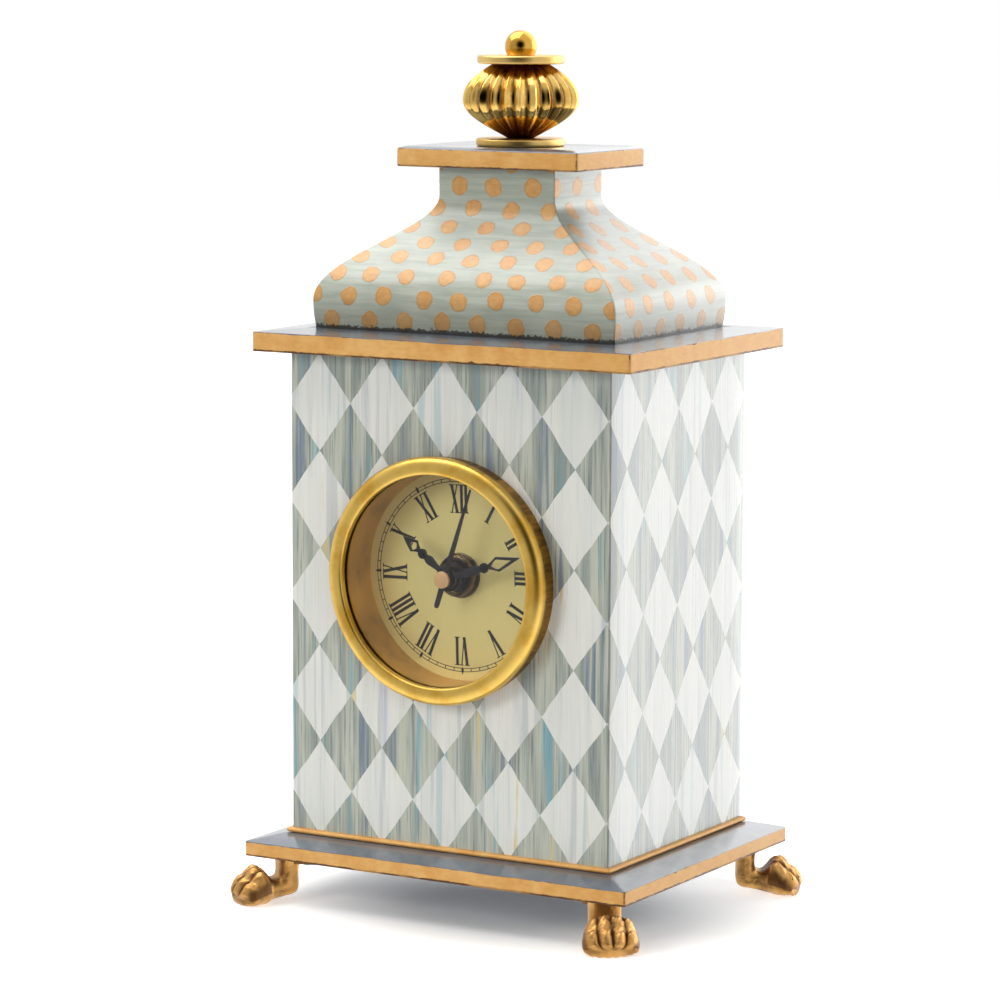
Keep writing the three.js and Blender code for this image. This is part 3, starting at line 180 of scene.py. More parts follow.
def xyz(vector):
    """The three parts of a vector."""
    x = node("SeparateXYZ", {0: vector})
    return x, x.twin(1), x.twin(2)


def noise(place, scale, detail=3, roughness=0.5, distortion=0.0):
    """Soft noise around a half, with this many lumps to the metre."""
    return node("TexNoise", {"Vector": place, "Scale": scale, "Detail": detail, "Roughness": roughness,
                             "Distortion": distortion})


def step(value, low, high, smooth=True):
    """A mask that rises from 0 to 1 as the value goes from low to high, or falls if high is the lower one."""
    ends = {"From Min": min(low, high), "From Max": max(low, high), "To Min": float(low > high),
            "To Max": float(low < high)}
    return node("MapRange", {"Value": value, **ends}, interpolation_type="SMOOTHSTEP" if smooth else "LINEAR")


def mixed(share, first, second):
    """Two numbers mixed by a share from 0 to 1."""
    return node("Mix", {0: share, 2: first, 3: second})


def paint(colour):
    """A colour as it is seen on a screen, from 0 to 255, turned into the linear colour that shaders take."""
    if isinstance(colour, Value):
        return colour
    seen = np.array(colour) / 255
    linear = np.where(seen <= 0.04045, seen / 12.92, ((seen + 0.055) / 1.055) ** 2.4)
    return (*linear.tolist(), 1)


def blend(share, first, second):
    """Two colours mixed by a share from 0 to 1, each a paint's red, green and blue or worked out by nodes."""
    return node("Mix", {0: share, 6: paint(first), 7: paint(second)}, 2, data_type="RGBA")


def new_finish(name):
    """A new material, and where a point of the piece lies in it."""
    material = bpy.data.materials.new(name)
    material.use_nodes = True
    return material, node("TexCoord", {}, "Object", material.node_tree)


def principled(material):
    """The one shader that gives a material its looks."""
    return material.node_tree.nodes["Principled BSDF"]


def surface(material, colour, roughness, metallic=0.0, relief=None, coat=(0.0, 0.03)):
    """Feeds a material's shader. A relief is a height value, how much of it is felt and how deep it is, and a coat
    is how much lacquer there is and how rough it is."""
    wire(principled(material).inputs, {"Base Color": colour, "Roughness": roughness, "Metallic": metallic,
                                       "Coat Weight": coat[0], "Coat Roughness": coat[1]})
    if relief is not None:
        bump = node("Bump", dict(zip(("Height", "Strength", "Distance"), relief)))
        wire(principled(material).inputs, {"Normal": bump})
    return material


def effect(name, inputs, outputs):
    """An empty node group for an effect that several finishes share, the values it is given, and its outputs."""
    tree = bpy.data.node_groups.new(name, "ShaderNodeTree")
    for label, value in inputs.items():
        kind = "NodeSocketVector" if value is None else "NodeSocketFloat"
        made = tree.interface.new_socket(label, in_out="INPUT", socket_type=kind)
        if value is not None:
            made.default_value = value
    for label in outputs:
        kind = "NodeSocketColor" if label == "Color" else "NodeSocketFloat"
        tree.interface.new_socket(label, in_out="OUTPUT", socket_type=kind)
    given = [Value(socket) for socket in tree.nodes.new("NodeGroupInput").outputs]
    return tree, given, tree.nodes.new("NodeGroupOutput").inputs


def use(group, *given):
    """Places a shared effect in a material, gives it its values in order, and returns its outputs by name."""
    placed = node("Group", dict(enumerate(given)), node_tree=group).socket.node
    return {socket.name: Value(socket) for socket in placed.outputs}


# Rubbed gilding: gold paint brushed on thinly, so that it is mottled, with small dark flecks of the ground showing.
gilding, (place, wear, *_), result = effect("Rubbed gilding", {"Vector": None, "Wear": 0.4},
                                            ["Color", "Roughness", "Metallic", "Height"])
mottle = noise(place, 160, 5, 0.6)
brush = noise(vectors("MULTIPLY", place, (0.25, 0.25, 1)), 1300, 3, 0.55)
fleck = step(noise(place, 900, 4, 0.7) - (wear * -0.18 + 0.79), 0, 0.06)
gold = blend(step(brush * 0.3 + mottle * 0.7, 0.3, 0.7), (230, 164, 82), (248, 197, 120))
wire(result, {"Color": blend(fleck * 0.8, gold, (104, 70, 34)), "Roughness": mottle * 0.3 + 0.34,
              "Metallic": fleck * -0.08 + 0.14, "Height": brush - fleck})

# Brushed paint: long soft brush marks along one direction, as a light-and-dark value and a finer ridge height.
brushing, (place, across, along, *_), result = effect("Brushed paint", {"Vector": None, "Across": 700, "Along": 30},
                                                      ["Value", "Height"])
spread = node("CombineXYZ", {0: across, 1: across, 2: along})
stroke = noise(vectors("MULTIPLY", place, spread), 1, 4, 0.55)
wire(result, {"Value": step(stroke, 0.3, 0.7, smooth=False), "Height": stroke})


def inset(place, half):
    """How far in a point is from the side and from the face of a block of these half sizes round the case's axis."""
    x, y, _ = xyz(place)
    return half[0] - abs(x), half[1] - abs(y - case_y)


def arris_mask(place, half, low, high):
    """Where the gilding is rubbed through: a hair's breadth along the lower and upright corners of a slab's edge,
    less along its upper corner, and chips here and there. At an upright corner the farther of the two faces counts."""
    z = xyz(place)[2]
    less_beside, less_above = 0.15 * mm, 0.35 * mm
    beside = math("MAXIMUM", *inset(place, half)) + less_beside
    near = math("MINIMUM", math("MINIMUM", z - low, high - z + less_above), beside)
    patches = noise(place, 75, 3, 0.6)
    reach = step(patches, 0.62, 0.72) * (0.7 * mm) + (noise(place, 500) * (0.6 * mm) + 0.2 * mm)
    return step(near - reach, 0.12 * mm, -0.1 * mm) * (step(patches, 0.4, 0.55) * 0.45 + 0.5)


def slab_material(name, half, low, edge_top, stands):
    """Gloss paint on the top and underside, gilding on the upright edge, with a line painted by hand between them.
    Round what stands on the top, if its half sizes are given, lies a dark speckled line of painted shade and grime."""
    material, place = new_finish(name)
    line = noise(place, 90, 2) * (0.8 * mm) + xyz(place)[2]
    underside = step(xyz(place.twin("Normal"))[2], -0.7, -0.9)
    painted = math("MAXIMUM", step(line, edge_top + 0.15 * mm, edge_top + 0.35 * mm), underside)
    clouds = noise(place, 70, 6, 0.65)
    colour = blend(step(clouds, 0.35, 0.66), (98, 106, 120), (122, 130, 144))
    colour = blend(step(noise(place, 38, 2, 0.5, 0.6), 0.52, 0.7) * 0.35, colour, (112, 130, 138))
    gloss = painted * 0.8 + 0.2
    if stands is not None:
        under = math("MINIMUM", *inset(place, stands))
        # Painted shade and grime: dark and less glossy in the corner round the foot of what stands on the top.
        shade_and_grime = step(noise(place, 900) * (-4.4 * mm) - under, 0.1 * mm, -1.3 * mm) * 0.9
        gloss = gloss * (1.0 - shade_and_grime)
        colour = blend(shade_and_grime, colour, (26, 26, 28))
    gilt = use(gilding, place, 0.3)
    edge = blend(arris_mask(place, half, low, edge_top), gilt["Color"], (78, 44, 20))
    roughness, metallic = mixed(painted, gilt["Roughness"], 0.28), mixed(painted, gilt["Metallic"], 0.0)
    relief = (mixed(painted, gilt["Height"], clouds), 0.2, 0.1 * mm)
    return surface(material, blend(painted, edge, colour), roughness, metallic, relief, (gloss, 0.1))


def dress(piece, material, body, slot, *replaced):
    """Gives a piece its finish and its body, and hides the CAD nodes that it stands for. The slot is not used."""
    piece.data.materials.append(material)
    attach(piece, body)
    if replaced:
        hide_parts(*replaced)
    return piece


def put_slab(name, finish, node_name, edge, profile, stands=None):
    """A slab whose section follows a profile: how far in from each side, and how high over its foot."""
    box = box_of(node_name)
    rows = rectangle_rows(*(box.half - profile).T[:2], box.low[2] + profile[:, 2], slab_corner, (0, case_y))
    gilded = slab_material(finish, box.half, box.low[2], box.low[2] + edge, stands)
    dress(closed_skin(name, rows), gilded, "case", "slate_paint", node_name)


def rising_profile(edge, height, run):
    """The section of a slab with an upright edge and a top that rises over a run to the slab's full height."""
    return eased([(0.5, 0, 0), (0, 0, 0), (0, 0, edge), (1, 1, height)], slab_arris) * [*run, 1]


base_edge = 4.0 * mm
base_profile = rising_profile(base_edge, 2 * slab.half[2], slab.half[:2] - case_half - bead_step)
put_slab("plinth", "steel blue paint with gilded edge", "base_slab", base_edge, base_profile)

# Bead. A thin half-round wooden bead, mitred and glued round the foot of the case, where it covers the joint with the
# base slab. It is gilded with the same rubbed gold as the slabs' edges.
bead = box_of("foot_bead")
bead_arc = np.radians(np.linspace(-90, 90, 9))
bead_out = np.concatenate([[0], np.cos(bead_arc) * (bead.half[0] - case_half[0]), [0]])
bead_up = bead.low[2] + bead.half[2] * (1 + np.concatenate([[-1], np.sin(bead_arc), [1]]))
bead_rows = rectangle_rows(case_half[0] + bead_out, case_half[1] + bead_out, bead_up, 0.5 * mm, (0, case_y))
bead_gilt, place = new_finish("gilded bead")
gilt = use(gilding, place, 0.5)
surface(bead_gilt, gilt["Color"], gilt["Roughness"], gilt["Metallic"], (gilt["Height"], 0.3, 0.1 * mm))
dress(closed_skin("case_bead", bead_rows, ring=True), bead_gilt, "case", "gilded_metal", "foot_bead")

# Case walls. Four boards under gloss lacquer, painted by hand in lozenges of ivory and sage grey with long upright
# brush marks of slate, teal, ochre and lilac. The front board runs the full width, over the edges of the sides.
lozenges_across, lozenges_deep, lozenges_up = 5, 4, 5
wall_arris = 0.6 * mm


def painted_wall_material():
    """Lozenges on two sets of slanting lines: the sum and the difference of the distances across and up, in lozenges,
    each rounded down, number every lozenge, and their parity gives its ground colour. Inside, the board is bare."""
    material, place = new_finish("lozenge painting under lacquer")
    x, y, z = xyz(place)
    on_side = math("GREATER_THAN", abs(xyz(place.twin("Normal"))[0]), 0.7)
    across_side = (y - case_y) * (lozenges_deep / (2 * case_half[1])) + 0.5
    across = mixed(on_side, x * (lozenges_across / (2 * case_half[0])), across_side)
    up = (z - wall.low[2]) * (lozenges_up / (2 * wall.half[2]))
    shake = noise(place, 120, 2)
    unsteady = shake * 0.07 + across
    rising, falling = math("FLOOR", unsteady + up), math("FLOOR", unsteady - up)
    ivory = math("PINGPONG", rising + falling, 1)
    number = node("CombineXYZ", {0: rising, 1: falling, 2: on_side})
    shifted = vectors("ADD", node("TexWhiteNoise", {"Vector": number}, "Color"), place)
    broad = use(brushing, shifted, 260, 14)["Value"]
    fine = use(brushing, shifted, 1500, 45)
    hue = use(brushing, vectors("ADD", shifted, (3.1, 1.7, 0.4)), 330, 9)["Value"]
    grey_tone = step(fine["Value"] * 0.35 + broad * 0.65, 0.25, 0.75)
    grey = blend(grey_tone, (146, 156, 148), (202, 206, 190))
    grey = blend(step(fine["Value"], 0.3, 0.08) * 0.5, grey, (112, 124, 122))
    colour = blend(ivory, grey, blend(broad, (230, 233, 226), (248, 248, 240)))
    washes = [(step(hue, 0.34, 0.1) * mixed(ivory, 0.75, 0.25), (108, 126, 152)),
              (step(hue, 0.74, 0.94) * mixed(ivory, 0.65, 0.3), (100, 176, 194)),
              (step(broad, 0.84, 1.0) * step(hue, 0.4, 0.6) * 0.75, (226, 206, 138)),
              (step(broad, 0.2, 0.0) * step(hue, 0.55, 0.45) * 0.4, (190, 194, 226))]
    for share, wash in washes:
        colour = blend(share, colour, wash)
    from_sides = inset(place, case_half)
    from_arris = shake * (-0.5 * mm) + math("MAXIMUM", *from_sides)
    colour = blend(step(from_arris, 0.25 * mm, -0.05 * mm) * 0.55, colour, (120, 112, 92))
    skin = step(math("MINIMUM", *from_sides), 1.3 * mm, 0.9 * mm)
    fibres = noise(place, 1300, 4, 0.7)
    board = blend(step(fibres, 0.35, 0.65), (150, 116, 80), (182, 146, 104))
    roughness = mixed(skin, 0.8, fine["Value"] * 0.12 + 0.24)
    return surface(material, blend(skin, board, colour), roughness, 0.0, (fine["Height"], 0.12, 0.1 * mm), (skin, 0.12))


wall_paint = painted_wall_material()


def upright(grid):
    """Turns a shape that was made lying down to face the front: its height becomes the distance towards -Y."""
    return np.stack([grid[..., 0], -grid[..., 2], grid[..., 1]], axis=-1)


def rectangle_path(low, high, per_side=24):
    """Points round a rectangle from its lowest corner, counter-clockwise, as many on each side."""
    share = np.linspace(0, 1, per_side, endpoint=False)[:, None]
    corners = np.array([low, (high[0], low[1]), high, (low[0], high[1]), low])
    return np.vstack([a + (b - a) * share for a, b in zip(corners, corners[1:])])


def board_with_opening(hole, outline, front, back):
    """Rows of an upright board between a hole and an outline of as many points: back and front edges of the hole,
    then the front face, a rounded arris, the edge and the back face."""
    bend = np.radians(np.linspace(0, 90, 5))
    at_side = np.abs(np.abs(outline) - np.abs(outline).max(axis=0)) < 1e-9
    inward = np.sign(outline) * np.array([1, 0]) * at_side
    deeper = np.sign(back - front) * wall_arris
    rows = [(hole, back), (hole, front)]
    rows += [(outline - inward * wall_arris * (1 - np.sin(a)), front + deeper * (1 - np.cos(a))) for a in bend]
    rows += [(outline, back)]
    return np.stack([np.column_stack([path[:, 0], np.full(len(path), y), path[:, 1]]) for path, y in rows])


dial = box_of("dial")
axis_x, axis_z = 0.0, dial.middle[2]
spigot_radius = 31.25 * mm
front_outline = rectangle_path(wall.low[[0, 2]], wall.high[[0, 2]])
from_axis = front_outline - [axis_x, axis_z]
front_hole = [axis_x, axis_z] + from_axis / np.linalg.norm(from_axis, axis=1)[:, None] * spigot_radius
front_rows = board_with_opening(front_hole, front_outline, wall.low[1], wall.high[1])
dress(closed_skin("case_front", front_rows, ring=True), wall_paint, "case", "painted_walls", "front_panel")

door = box_of("back_door")
door_gap = 0.6 * mm
back_outline = rectangle_path(back_frame.low[[0, 2]], back_frame.high[[0, 2]])
back_hole = rectangle_path(door.low[[0, 2]] - door_gap, door.high[[0, 2]] + door_gap)
back_rows = board_with_opening(back_hole, back_outline, back_frame.high[1], back_frame.low[1])
dress(closed_skin("case_back", back_rows[::-1], ring=True), wall_paint, "case", "painted_walls", "back_frame")


def finish_nodes(material, *names):
    """Gives pieces that keep their CAD shape their finish."""
    for name in names:
        nodes[name].data.materials.clear()
        nodes[name].data.materials.append(material)


finish_nodes(wall_paint, "left_panel", "right_panel")

# Cornice. The same hardwood slab work as the plinth, wider and thicker edged, with its top nearly hidden under the
# roof. The rod of the finial passes through it and clamps it under the roof.
cornice, roof = box_of("cornice_slab"), box_of("roof")
cornice_edge = 5.3 * mm
cornice_profile = rising_profile(cornice_edge, 2 * cornice.half[2], (cornice.half - roof.half)[:2])
put_slab("cornice", "steel blue paint of the cornice", "cornice_slab", cornice_edge, cornice_profile, roof.half)

# Roof. Carved wood in an ogee: tucked in at the foot, full at the belly, then sweeping in to an upright neck. It is
# painted sage with faint level brush marks, and spotted by hand with gold dots in staggered rows.
belly, neck = np.array([47.3, 31.8]) * mm, np.array([18.2, 13.2]) * mm
belly_height, neck_height = 7.5 * mm, 36 * mm
belly_pull, neck_pull = 11.7 * mm, 9.3 * mm
roof_tuck, roof_hip = 0.6 * mm, 0.55 * mm
dot_radius, dot_pitch, dot_row = 2.6 * mm, 11.6 * mm, 6.6 * mm


def bent(start, leaving, arriving, end, count):
    """Points on the cubic curve between two ends by way of two others."""
    share = np.linspace(0, 1, count)[:, None]
    start, leaving, arriving, end = (np.array(point, float) for point in (start, leaving, arriving, end))
    return ((1 - share) ** 3 * start + 3 * (1 - share) ** 2 * share * leaving + 3 * (1 - share) * share ** 2 * arriving
            + share ** 3 * end)


rise = bent([belly_height], [belly_height + belly_pull], [neck_height - neck_pull], [neck_height], 40)
share = np.linspace(0, 1, 40)
sweep = (1 - share) ** 2 * (1 + 2 * share)
foot_share = np.linspace(0, 1, 8, endpoint=False)
foot_out = -roof_tuck * (1 - foot_share) ** 2
roof_x, roof_y = (np.concatenate([wide + foot_out, narrow + (wide - narrow) * sweep, [narrow]])
                  for wide, narrow in zip(belly, neck))
roof_z = np.concatenate([belly_height * foot_share, rise[:, 0], [roof.high[2] - roof.low[2]]])
roof_rows = rectangle_rows(roof_x, roof_y, roof.low[2] + roof_z, roof_hip, (0, case_y))
roof_skin = closed_skin("ogee_roof", roof_rows, creases=50)
climb = np.concatenate([[0], np.cumsum(np.hypot(np.diff((roof_x + roof_y) / 2), np.diff(roof_z)))])
climb_map = np.column_stack([np.repeat(climb, roof_rows.shape[1]), np.zeros(roof_rows.shape[0] * roof_rows.shape[1])])
corners = np.empty(len(roof_skin.data.loops), dtype=np.int32)
roof_skin.data.loops.foreach_get("vertex_index", corners)
layer = roof_skin.data.uv_layers.new(name="climb")
layer.data.foreach_set("uv", climb_map.astype(np.float32)[corners].ravel())


def spotted_roof_material():
    """Dots on a staggered grid: each point is measured to the middle of its cell, across the face and up the climb
    of the roof. Odd rows are moved by half a pitch, and each dot is moved and shaped a little by noise."""
    material, place = new_finish("sage paint with gold dots")
    x, y, z = xyz(place)
    facing_x, facing_y, _ = xyz(place.twin("Normal"))
    on_side = math("GREATER_THAN", abs(facing_x), abs(facing_y))
    climbed = xyz(node("UVMap", {}, tree=material.node_tree, uv_map="climb"))[0]
    shaken_x, shaken_y, _ = xyz(noise(place, 260, 2).twin("Color"))
    row_place = (shaken_x * (1.1 * mm) + climbed) / dot_row
    row = math("FLOOR", row_place)
    along = shaken_y * (1.1 * mm) + mixed(on_side, x, y - case_y)
    column_place = (math("PINGPONG", row, 1) * (dot_pitch / 2) + along) / dot_pitch
    number = node("CombineXYZ", {0: row, 1: math("FLOOR", column_place), 2: on_side})
    stray_x, stray_y, _ = xyz(node("TexWhiteNoise", {"Vector": number}, "Color"))
    aside = (stray_x - 0.5) * (1.6 * mm) + (math("FRACT", column_place) - 0.5) * dot_pitch
    upward = (stray_y - 0.5) * (0.8 * mm) + (math("FRACT", row_place) - 0.5) * dot_row
    daub = noise(place, 700)
    ragged = daub * (1.1 * mm) + math("SQRT", aside * aside + upward * upward)
    dot = step(ragged, dot_radius + 0.75 * mm, dot_radius + 0.4 * mm)
    strokes = noise(vectors("MULTIPLY", place, (60, 60, 900)), 1, 4, 0.6)
    tone = step(strokes * 0.5 + noise(place, 50) * 0.5, 0.36, 0.64)
    sage = blend(tone, (166, 174, 158), (196, 202, 186))
    gilt = use(gilding, place, 0.5)
    deeper = blend(daub * 0.5 + 0.1, gilt["Color"], (176, 116, 50))
    rim = step(ragged, dot_radius - 0.2 * mm, dot_radius + 0.6 * mm) * 0.25
    colour = blend(dot, sage, blend(rim, deeper, (140, 88, 38)))
    # Painted shade: the roof darkens towards its foot, where the belly tucks under.
    painted_shade_low = step(z, roof.low[2] + 11 * mm, roof.low[2] + 1 * mm) * 0.42
    colour = blend(painted_shade_low, colour, (100, 92, 66))
    # Painted shade and grime: a dark speckled line along the roof's foot, in its corner with the cornice.
    shade_and_grime = step(noise(place, 1100) * (-2.6 * mm) + (z - roof.low[2]), -0.2 * mm, -0.6 * mm) * 0.9
    roughness, metallic = mixed(dot, 0.32, gilt["Roughness"]), dot * gilt["Metallic"]
    relief = (dot * (daub * 1.4 + 0.6) + strokes * 0.6, 0.5, 0.15 * mm)
    return surface(material, blend(shade_and_grime, colour, (30, 32, 32)), roughness, metallic, relief, (1.0, 0.25))


dress(roof_skin, spotted_roof_material(), "case", "sage_paint", "roof")

# Cap. A small wooden slab that closes the roof's neck under the finial, painted and gilded as the others are. The
# finial's rod passes through it and clamps it on the neck.
cap_edge, cap_slope = 5.0, 2
cap_height = 2 * box_of("cap_slab").half[2] / mm
cap_profile = eased([(cap_slope, 0), (0, 0), (0, cap_edge), (cap_slope, cap_height)], 0.4) * mm
put_slab("cap", "steel blue paint of the cap", "cap_slab", cap_edge * mm, cap_profile[:, [0, 0, 1]])

# Finial. Brass turned on a lathe and threaded on one rod: a satin disc, a polished melon pressed into hollow flutes
# with sharp ridges between them, a second disc and a small ball that stands on a flat foot.
finial_axis = (0, case_y, 0)


def turned(name, profile, columns=128, centre=(0, 0, 0), ring=False, front=False, creases=35):
    """A lathe-turned skin: each point of the profile, as a radius and a height, is carried round the axis. With front
    it lies along Y, its height towards the viewer."""
    turn = np.linspace(0, 2 * np.pi, columns, endpoint=False)
    radius, height = np.asarray(profile, float).T
    grid = np.stack([radius[:, None] * np.cos(turn), radius[:, None] * np.sin(turn),
                     np.broadcast_to(height[:, None], (len(radius), columns))], axis=-1)
    grid = upright(grid) if front else grid
    return closed_skin(name, grid + np.asarray(centre), ring, creases)


def tube(first_radius, second_radius, first_y, second_y):
    """A ring's square section, as radii and heights towards the viewer: across at the first Y, back at the second."""
    return [(first_radius, -first_y), (second_radius, -first_y), (second_radius, -second_y), (first_radius, -second_y)]


def on_drum(name, profile, columns, material, slot, *replaced, ring=True, body="case"):
    """A piece turned about the dial's axis."""
    piece = turned(name, profile, columns, (axis_x, 0, axis_z), ring, front=True)
    dress(piece, material, body, slot, *replaced)


def bright_metal(name, light, dark, roughness, grime=0.5, brushed=(1, 1, 1)):
    """Polished metal: fine scratches in one direction, broad smudges in the gloss, and a darker tone in patches."""
    material, place = new_finish(name)
    scratches = noise(vectors("MULTIPLY", place, brushed), 1400, 3, 0.7)
    smudges = noise(place, 75, 5, 0.65)
    gloss = smudges * 0.12 + (scratches * 0.06 + (roughness - 0.08))
    colour = blend(step(smudges, 0.42, 0.72) * grime, light, dark)
    return surface(material, colour, gloss, 1, (scratches, 0.06, 0.05 * mm))


satin_brass = bright_metal("satin brass of the discs", (228, 194, 120), (204, 164, 86), 0.34, 0.7)
pinhole = 0.001 * mm
for disc, node_name in (("finial_disc_low", "finial_lower_disc"), ("finial_disc_high", "finial_upper_disc")):
    box = box_of(node_name)
    radius, foot, top = box.half[0], box.low[2], box.high[2]
    rim = eased([(pinhole, foot), (radius, foot), (radius, top), (pinhole, top)], 0.75 * mm, 6)
    dress(turned(disc, rim, 96, finial_axis), satin_brass, "case", "brass", node_name)

melon = box_of("finial_melon")
melon_height = (melon.high[2] - melon.low[2]) / mm
melon_radius, belly_rise, melon_flutes, flute_depth = 15.8, 10.3, 24, 1.25 * mm
melon_foot, melon_mouth = (3.6, 0), (7.6, melon_height)
melon_belly = (melon_radius, belly_rise)
below_belly = bent(melon_foot, (8.6, 2.9), (melon_radius, 5.9), melon_belly, 28)
above_belly = bent(melon_belly, (melon_radius, 14.6), (12.6, melon_height - 3), melon_mouth, 28)
melon_profile = np.vstack([below_belly, above_belly[1:]]) * mm
melon_turn = np.linspace(0, 2 * np.pi, melon_flutes * 16, endpoint=False)
hollow = ((1 - np.cos(melon_turn * melon_flutes)) / 2) ** 0.62
melon_radii = melon_profile[:, :1] - flute_depth * (melon_profile[:, :1] / (melon_radius * mm)) ** 0.8 * hollow
melon_rows = np.stack([melon_radii * np.cos(melon_turn), case_y + melon_radii * np.sin(melon_turn),
                       np.broadcast_to(melon.low[2] + melon_profile[:, 1:], melon_radii.shape)], axis=-1)


def fluted_brass():
    """Polished brass, brown near both ends and in the hollows: painted shade there, and old polish and dust."""
    material, place = new_finish("polished brass of the flutes")
    x, y, height = xyz(place)
    ridge = math("COSINE", math("ARCTAN2", y - case_y, x) * melon_flutes) * 0.5 + 0.5
    smudges = noise(place, 140, 5, 0.65)
    wavering = smudges * (5 * mm) + height
    low_end = step(wavering, melon.low[2] + 8.5 * mm, melon.low[2] + 3.5 * mm)
    high_end = step(wavering, melon.high[2] - 1.5 * mm, melon.high[2] + 2 * mm)
    deep = step(smudges * 0.9 - ridge, -0.1, 0.45)
    # Painted shade and patina: brown under the upper disc, towards the neck and along the hollows of the flutes.
    shade_and_patina = math("MAXIMUM", math("MAXIMUM", low_end, high_end), deep) * 0.8
    warm = blend(step(smudges, 0.42, 0.7), (242, 200, 112), (214, 162, 66))
    return surface(material, blend(shade_and_patina, warm, (84, 44, 10)), smudges * 0.14 + 0.08, 1)


dress(closed_skin("finial_fluted_melon", melon_rows, creases=60), fluted_brass(), "case", "brass", "finial_melon")

ball = box_of("finial_ball")
ball_radius = ball.half[0]
ball_centre = ball.high[2] - ball_radius
ball_turn = np.linspace(np.arcsin((ball.low[2] - ball_centre) / ball_radius), np.radians(89.5), 28)
ball_profile = np.column_stack([np.cos(ball_turn) * ball_radius, ball_centre + ball_radius * np.sin(ball_turn)])
polished_brass = bright_metal("polished brass", (222, 172, 78), (170, 112, 36), 0.16, 0.8)
finial_ball = turned("finial_ball_turned", ball_profile, 64, finial_axis, creases=40)
dress(finial_ball, polished_brass, "case", "brass", "finial_ball")

# Drum. A deep brass bezel turned from thick tube: one smooth rolled rim with a narrow groove inside it, a short
# barrel that stands proud of the case, with tool marks along it, and a spigot through the front board.
rim_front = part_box("bezel_drum")[0][1]
glass_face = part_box("crystal")[0][1]
drum_radius, bore_radius, groove_radius, lip_radius = 33 * mm, 30 * mm, 29.35 * mm, 28.8 * mm
roll_radius = drum_radius + 0.65 * mm
crest_radius, crest = 30.5 * mm, -rim_front
swell, lip_back = crest - 4.1 * mm, crest - 2 * mm
outside = bent((drum_radius, swell), (roll_radius, swell), (roll_radius, crest - 3.2 * mm),
               (roll_radius, crest - 2.5 * mm), 8)
over = bent(outside[-1], (roll_radius, crest - 1.0 * mm), (crest_radius + 1.9 * mm, crest), (crest_radius, crest), 16)
inside = bent((crest_radius, crest), (29.4 * mm, crest), (lip_radius, crest - 0.15 * mm),
              (lip_radius, crest - 0.9 * mm), 12)
barrel = [(drum_radius, -wall.low[1]), (spigot_radius, -wall.low[1]), (spigot_radius, -wall.high[1]),
          (bore_radius, -wall.high[1]), (bore_radius, -glass_face), (groove_radius, -glass_face),
          (groove_radius, lip_back), (lip_radius, lip_back)]
drum_profile = np.vstack([inside[::-1], over[-2::-1], outside[-2::-1], barrel])[::-1]


def drum_material():
    """Satin brass, darker and streaked along the axis on the outside of the barrel."""
    material, place = new_finish("turned brass of the drum")
    x, y, z = xyz(place)
    up = z - axis_z
    away = math("SQRT", x * x + up * up)
    outside = step(away, drum_radius - 0.9 * mm, drum_radius - 0.1 * mm) * \
        step(y, rim_front + 2.3 * mm, rim_front + 3.2 * mm)
    drawn = noise(vectors("MULTIPLY", place, (900, 90, 900)), 1, 4, 0.65)
    smudges = noise(place, 90, 5, 0.65)
    warm = blend(step(smudges, 0.4, 0.7), (236, 197, 102), (214, 166, 66))
    barrel_dark = blend(step(drawn, 0.35, 0.65), (96, 58, 12), (170, 118, 40))
    grain = use(brushing, place, 1500, 1500)["Height"]
    roughness = smudges * 0.12 + (outside * 0.1 + 0.26)
    relief = (drawn * outside * 3.0 + grain * 0.6, 0.12, 0.05 * mm)
    return surface(material, blend(outside * 0.85, warm, barrel_dark), roughness, 1, relief)


on_drum("dial_drum", drum_profile, 192, drum_material(), "brass", "bezel_drum")

# Glass. A flat disc of window glass, laid into the drum from behind against the back of the lip. It is clear to the
# eye and casts no shadow on the dial.
glass, _ = new_finish("window glass")
wire(principled(glass).inputs, {"Transmission Weight": 1, "Roughness": 0.0, "IOR": 1.45, "Specular IOR Level": 0.1,
                                "Base Color": (1, 1, 1, 1)})
shadow = node("LightPath", {}, "Is Shadow Ray", glass.node_tree)
clear = node("BsdfTransparent", {}, tree=glass.node_tree)
solid = Value(principled(glass).outputs[0])
wire(glass.node_tree.nodes["Material Output"].inputs, {0: node("MixShader", {0: shadow, 1: solid, 2: clear})})
finish_nodes(glass, "crystal")

# Sleeve. A ring of thin matt brass, dull from the tube mill. It is pushed into the drum between the glass and the
# dial, and holds them apart.
sleeve = box_of("inner_sleeve")
sleeve_profile = tube(sleeve.half[0], lip_radius, sleeve.low[1], sleeve.high[1])
matt_brass = bright_metal("matt brass sleeve", (222, 176, 104), (180, 146, 102), 0.45, 0.8, (1, 0.2, 1))
on_drum("drum_sleeve", sleeve_profile, 160, matt_brass, "matt_brass", "inner_sleeve")

# Dial. A thin brass disc, silvered to a pale satin gold and printed in black: numerals with their feet to the middle,
# a minute track of two fine rings with ticks, and a small dart at each hour.
dial_hole, dial_face = 4.2 * mm, dial.low[1]
champagne, place = new_finish("satin champagne dial")
brushed = use(brushing, place, 5000, 120)
tone = brushed["Value"] * 0.35 + noise(place, 40) * 0.65
surface(champagne, blend(tone, (218, 203, 128), (234, 220, 152)), brushed["Value"] * 0.1 + 0.42, 0.55,
        (brushed["Height"], 0.05, 0.05 * mm))
on_drum("dial_disc", tube(dial.half[0], dial_hole, dial_face, dial.high[1]), 160, champagne, "dial_gilt", "dial")

